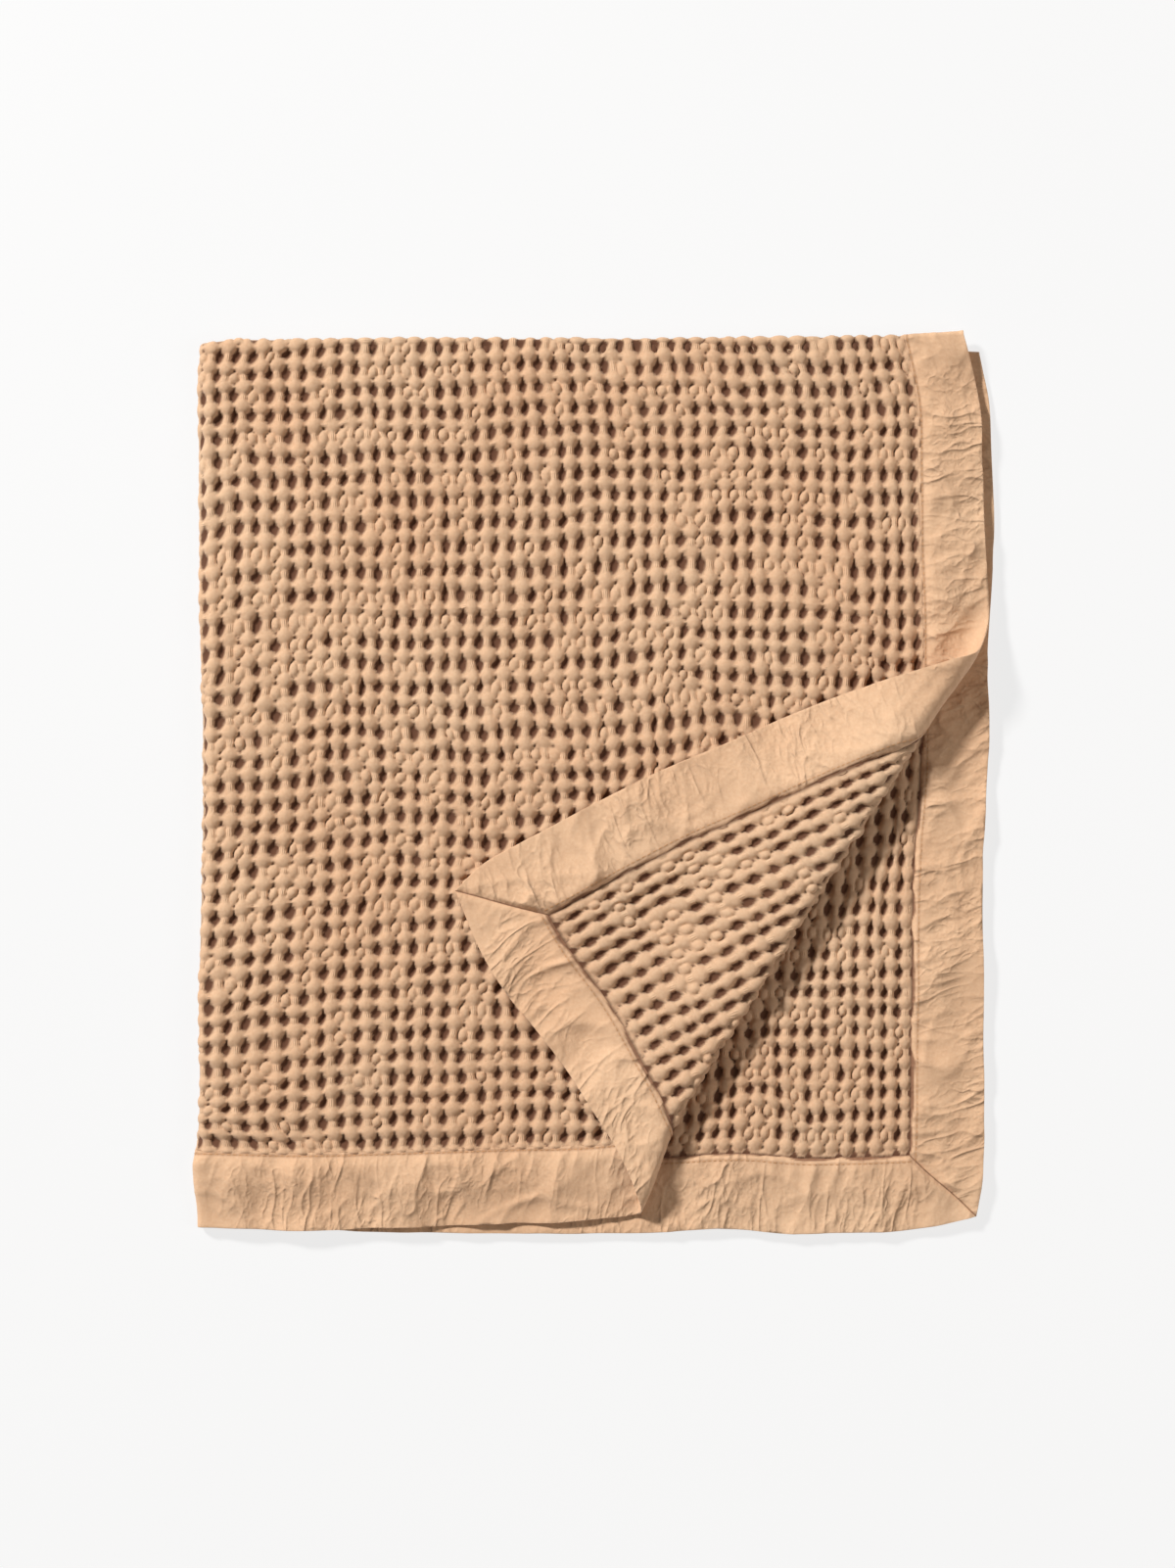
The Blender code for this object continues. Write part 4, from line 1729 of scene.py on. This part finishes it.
    def surface_offset(self, along: Array, out: Array, sides: Array) -> tuple[Array, Array]:
        """Offset of the strip's skin from its middle, and its wrinkles.

        Args:
            along: distance along the strip.
            out: distance out from the seam.
            sides: where each point is between the inner and outer face.

        Returns:
            The offset outwards in the stack, and the upward shift.
        """
        rim = self.panel_end + np.maximum(out, 0.0) - np.abs(along)
        thin, run = self.mitre_thin
        skin = self.thick / 2 * (thin + (1.0 - thin) * smooth(rim / run)) - self.edge_thick
        front, back = (
            smooth(past / run) for past, run in zip(self.past_fold(along, out), self.fold_round)
        )
        lip = self.back_lip * (1.0 - smooth((out - self.back_line) / 0.003))
        outer = self.edge_thick + (skin + self.front_raise) * front
        outer = outer - self.front_raise * smooth((out - self.front_line) / 0.002)
        inner = self.edge_thick + (skin + lip) * back
        hole = 0.5 + 0.5 * np.cos(2.0 * math.pi * along / self.stitch_pitch)
        deep, wide = self.groove
        outer, inner = (
            face - deep * bell(out - line, wide) * (0.5 + 0.5 * hole)
            for face, line in ((outer, self.front_line), (inner, self.back_line))
        )
        offset = np.where(sides > 0, outer * sides, inner * sides)
        held = 0.40 + 0.60 * smooth(out / 0.010)
        crumple = self.crumple(along, out) * self.showing(*self.flat(along, out)) * held
        return offset, crumple * smooth(rim / 0.006)

    def build(self) -> bpy.types.Object:
        """Returns:
            The new piece.
        """
        lines = self.stations()
        outs, sides = self.section()
        along, out = np.meshgrid(lines, outs)
        side_grid = np.repeat(sides[:, None], len(lines), axis=1)
        last = self.panel_end - self.mitre_reach
        end = self.panel_end + np.maximum(out, 0.0)
        whole = self.panel_end + self.fold.border
        past = np.maximum(np.abs(along) - last, 0.0)
        past = past * (end - last) / (whole - last)
        along = np.sign(along) * (np.minimum(np.abs(along), last) + past)
        offset, up = self.surface_offset(along, out, side_grid)
        wave = self.hem_wave * (noise(along / 0.024, out * 0.0, self.seed + 7) - 0.5)
        wave = wave * smooth(out / self.fold.border) * smooth((end - np.abs(along)) / 0.02)
        u, v = self.flat(along, out + wave)
        u = np.clip(u, -self.fold.half_width, self.fold.half_width)
        v = np.clip(v, -self.fold.half_length, self.fold.half_length)
        points = self.fold.lay(u, v, offset, self.middle(out), up)
        points[..., 2] = np.maximum(points[..., 2], 0.0)
        line = np.where(side_grid > 0, self.front_line, self.back_line)
        past_fold = np.where(side_grid > 0, *self.past_fold(along, out))
        # Painted shade along the stitch lines, the mitres and under the folded edge.
        dark, run = self.fold_shade
        shades = (
            self.line_shade[0] * bell(out - line, self.line_shade[1]),
            self.mitre_shade[0] * bell(end - np.abs(along), self.mitre_shade[1]),
            dark * (1.0 - smooth(past_fold / run)),
        )
        masks = np.zeros(along.shape + (4,))
        masks[..., 3] = np.maximum.reduce(shades)
        uv = np.stack((along, out), axis=-1)
        turns = (self.side > 0) != self.along_v
        face = Face.OUTER if turns else Face.INNER
        piece = surface(self.name, points, uv, masks, self.finish, face, closed=True)
        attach(piece, "root")
        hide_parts(self.node)
        return piece

    def stitches(
        self,
        name: str,
        side: Face,
        finish: bpy.types.Material,
        shown: Callable[[Array, Array], Array],
    ) -> bpy.types.Object:
        """The row of stitches that joins the strip to the panel.

        Args:
            name: name of the piece.
            side: face of the cloth that the row is seen on.
            finish: the thread.
            shown: tells from flat u and v which stitches are made.

        Returns:
            The new piece, every stitch in one object.
        """
        line, pitch, width = self.stitch_line(side), self.stitch_pitch, self.stitch_width
        reach = self.panel_end + line - self.corner_gap
        starts = np.arange(-reach, reach, pitch) + pitch / 2
        starts = starts[shown(*self.flat(starts, np.full_like(starts, line)))]
        run = np.array((-0.5, -0.36, -0.12, 0.12, 0.36, 0.5))[:, None]
        swell = np.array((0.25, 0.85, 1.0, 1.0, 0.85, 0.25))[:, None]
        rounds = np.linspace(0.0, 2.0 * math.pi, 7)[:-1]
        luck = scatter(np.round(starts / pitch), starts * 0, self.seed)
        tilt = self.stitch_tilt * (luck - 0.5)
        along = starts[:, None, None] + run * self.stitch_length + 0.0 * rounds
        out = line + width * swell * np.cos(rounds) + tilt[:, None, None] * run * 2.0
        rise = width * 0.8 * swell * np.sin(rounds) + 0.0 * along
        skin, up = self.surface_offset(along, out, np.full_like(along, side.value))
        offset = skin + (rise + self.stitch_lift) * side.value
        points = self.fold.lay(*self.flat(along, out), offset, self.middle(out), up)
        index = np.arange(along.size).reshape(along.shape)
        around = np.roll(index, -1, axis=2)
        quads = np.stack((index[:, :-1], around[:, :-1], around[:, 1:], index[:, 1:]), axis=-1)
        places = np.stack((along, rise), axis=-1).reshape(-1, 2)
        piece = mesh_object(name, points.reshape(-1, 3), quads.reshape(-1, 4), finish, places)
        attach(piece, "root")
        return piece


@dataclass(frozen=True)
class Lamp:
    """Soft square lamp that faces the throw.

    Attributes:
        name: name of the lamp.
        towards: direction from the throw to the lamp.
        away: distance of the lamp.
        size: side of its square face.
        power: light in watts.
        colour: colour of the light.
    """

    name: str
    towards: tuple[float, float, float]
    away: float
    size: float
    power: float
    colour: tuple[float, float, float]

    def build(self) -> None:
        """Hang the lamp."""
        data = bpy.data.lights.new(self.name, "AREA")
        data.size = self.size
        data.energy = self.power
        data.color = self.colour
        item = place_object(self.name, data)
        way = np.array(self.towards) / np.linalg.norm(self.towards)
        item.location = tuple(way * self.away)
        yaw = math.atan2(way[1], way[0]) + math.pi / 2
        item.rotation_euler = (math.acos(way[2]), 0.0, yaw)


@dataclass
class Studio:
    """Pale floor, soft light and the camera straight above."""

    lamps: Sequence[Lamp] = (
        Lamp("key", (-0.62, 0.55, 0.64), 8.0, 1.0, 806.0, (1.0, 0.995, 0.985)),
        Lamp("fill", (0.75, -0.15, 0.70), 4.0, 2.0, 40.0, (1.0, 0.93, 0.86)),
    )
    surround_colour: Colour = (1.0, 0.94, 0.89, 1.0)
    surround_strength: float = 0.12
    floor_reach: float = 4.0
    floor_tones: tuple[float, float] = (0.14, 0.15)
    floor_glow: float = 0.77
    view_centre: tuple[float, float] = (-0.0064, 0.0)
    view_height: float = 1.2808
    subject_height: float = 0.016
    distance: float = 3.2
    sensor: float = 36.0

    def floor(self) -> None:
        """Wide pale floor under the throw."""
        material, kit, shader = start_material("pale_floor")
        place = kit.add("ShaderNodeTexCoord").outputs["Object"]
        dull, bright = ((tone, tone, tone, 1.0) for tone in self.floor_tones)
        pale = kit.mix(kit.grain(place, scale=3.0, detail=2.0), dull, bright)
        kit.feed(shader.inputs["Base Color"], pale)
        shader.inputs["Roughness"].default_value = 0.8
        shader.inputs["Emission Color"].default_value = (1.0, 1.0, 1.0, 1.0)
        shader.inputs["Emission Strength"].default_value = self.floor_glow
        turns = ((-1, -1, 0), (1, -1, 0), (1, 1, 0), (-1, 1, 0))
        corners = self.floor_reach * np.array(turns)
        item = mesh_object("floor", corners, np.array(((0, 1, 2, 3),)), material)

    def surround(self) -> None:
        """Even, faintly warm light from all round."""
        world = bpy.data.worlds.new("studio")
        world.use_nodes = True
        back = world.node_tree.nodes["Background"]
        back.inputs["Color"].default_value = self.surround_colour
        back.inputs["Strength"].default_value = self.surround_strength
        bpy.context.scene.world = world

    def camera(self) -> None:
        """Camera that looks straight down on the throw."""
        data = bpy.data.cameras.new("camera")
        data.sensor_width = self.sensor
        data.lens = self.sensor * self.distance / self.view_height
        data.clip_end = 50.0
        item = place_object("camera", data)
        item.location = (*self.view_centre, self.distance + self.subject_height)
        bpy.context.scene.camera = item

    def build(self) -> None:
        """Set up the whole studio."""
        self.floor()
        for lamp in self.lamps:
            lamp.build()
        self.surround()
        self.camera()
        settings = bpy.context.scene.view_settings
        settings.view_transform = "Standard"
        settings.look = "None"


def main() -> None:
    """Build the throw and its studio."""
    logging.basicConfig(level=logging.INFO, format="%(message)s")
    groups = Groups()
    fold = Fold()
    waffle = WaffleFinish().make(groups)
    border = BorderFinish().make(groups)
    thread = ThreadFinish().make()
    Studio().build()

    pieces = WafflePanel(fold, WaffleWeave(fold), waffle).build()
    close, wide = 0.0022, 0.006
    strips = [
        BorderStrip(name, node, fold, border, *how)
        for name, node, *how in (
            ("side_border_top_pair", "side_border_upper", True, -1.0, close, close, 100),
            ("side_border_low_pair", "side_border_lower", True, 1.0, wide, wide, 200),
            ("end_border_outside", "end_border_outer", False, -1.0, close, wide, 300),
            ("end_border_inside", "end_border_inner", False, 1.0, close, wide, 400),
        )
    ]
    pieces += [strip.build() for strip in strips]
    side_top, _, end_top, end_low = strips
    rows = (
        (side_top, "side_stitches_top", Face.OUTER, lambda u, v: v < 0.003),
        (side_top, "side_stitches_back", Face.INNER, lambda u, v: (v < -0.2) | (v > 0.3)),
        (end_top, "end_stitches_top", Face.OUTER, lambda u, v: u < 0.012),
        (end_top, "end_stitches_back", Face.INNER, lambda u, v: u < -0.25),
        (end_low, "end_stitches_second", Face.INNER, lambda u, v: u < -0.25),
    )
    pieces += [strip.stitches(name, side, thread, shown) for strip, name, side, shown in rows]
    for piece in pieces:
        LOG.info("%s: %d faces", piece.name, len(piece.data.polygons))


if __name__ == "__main__":
    main()
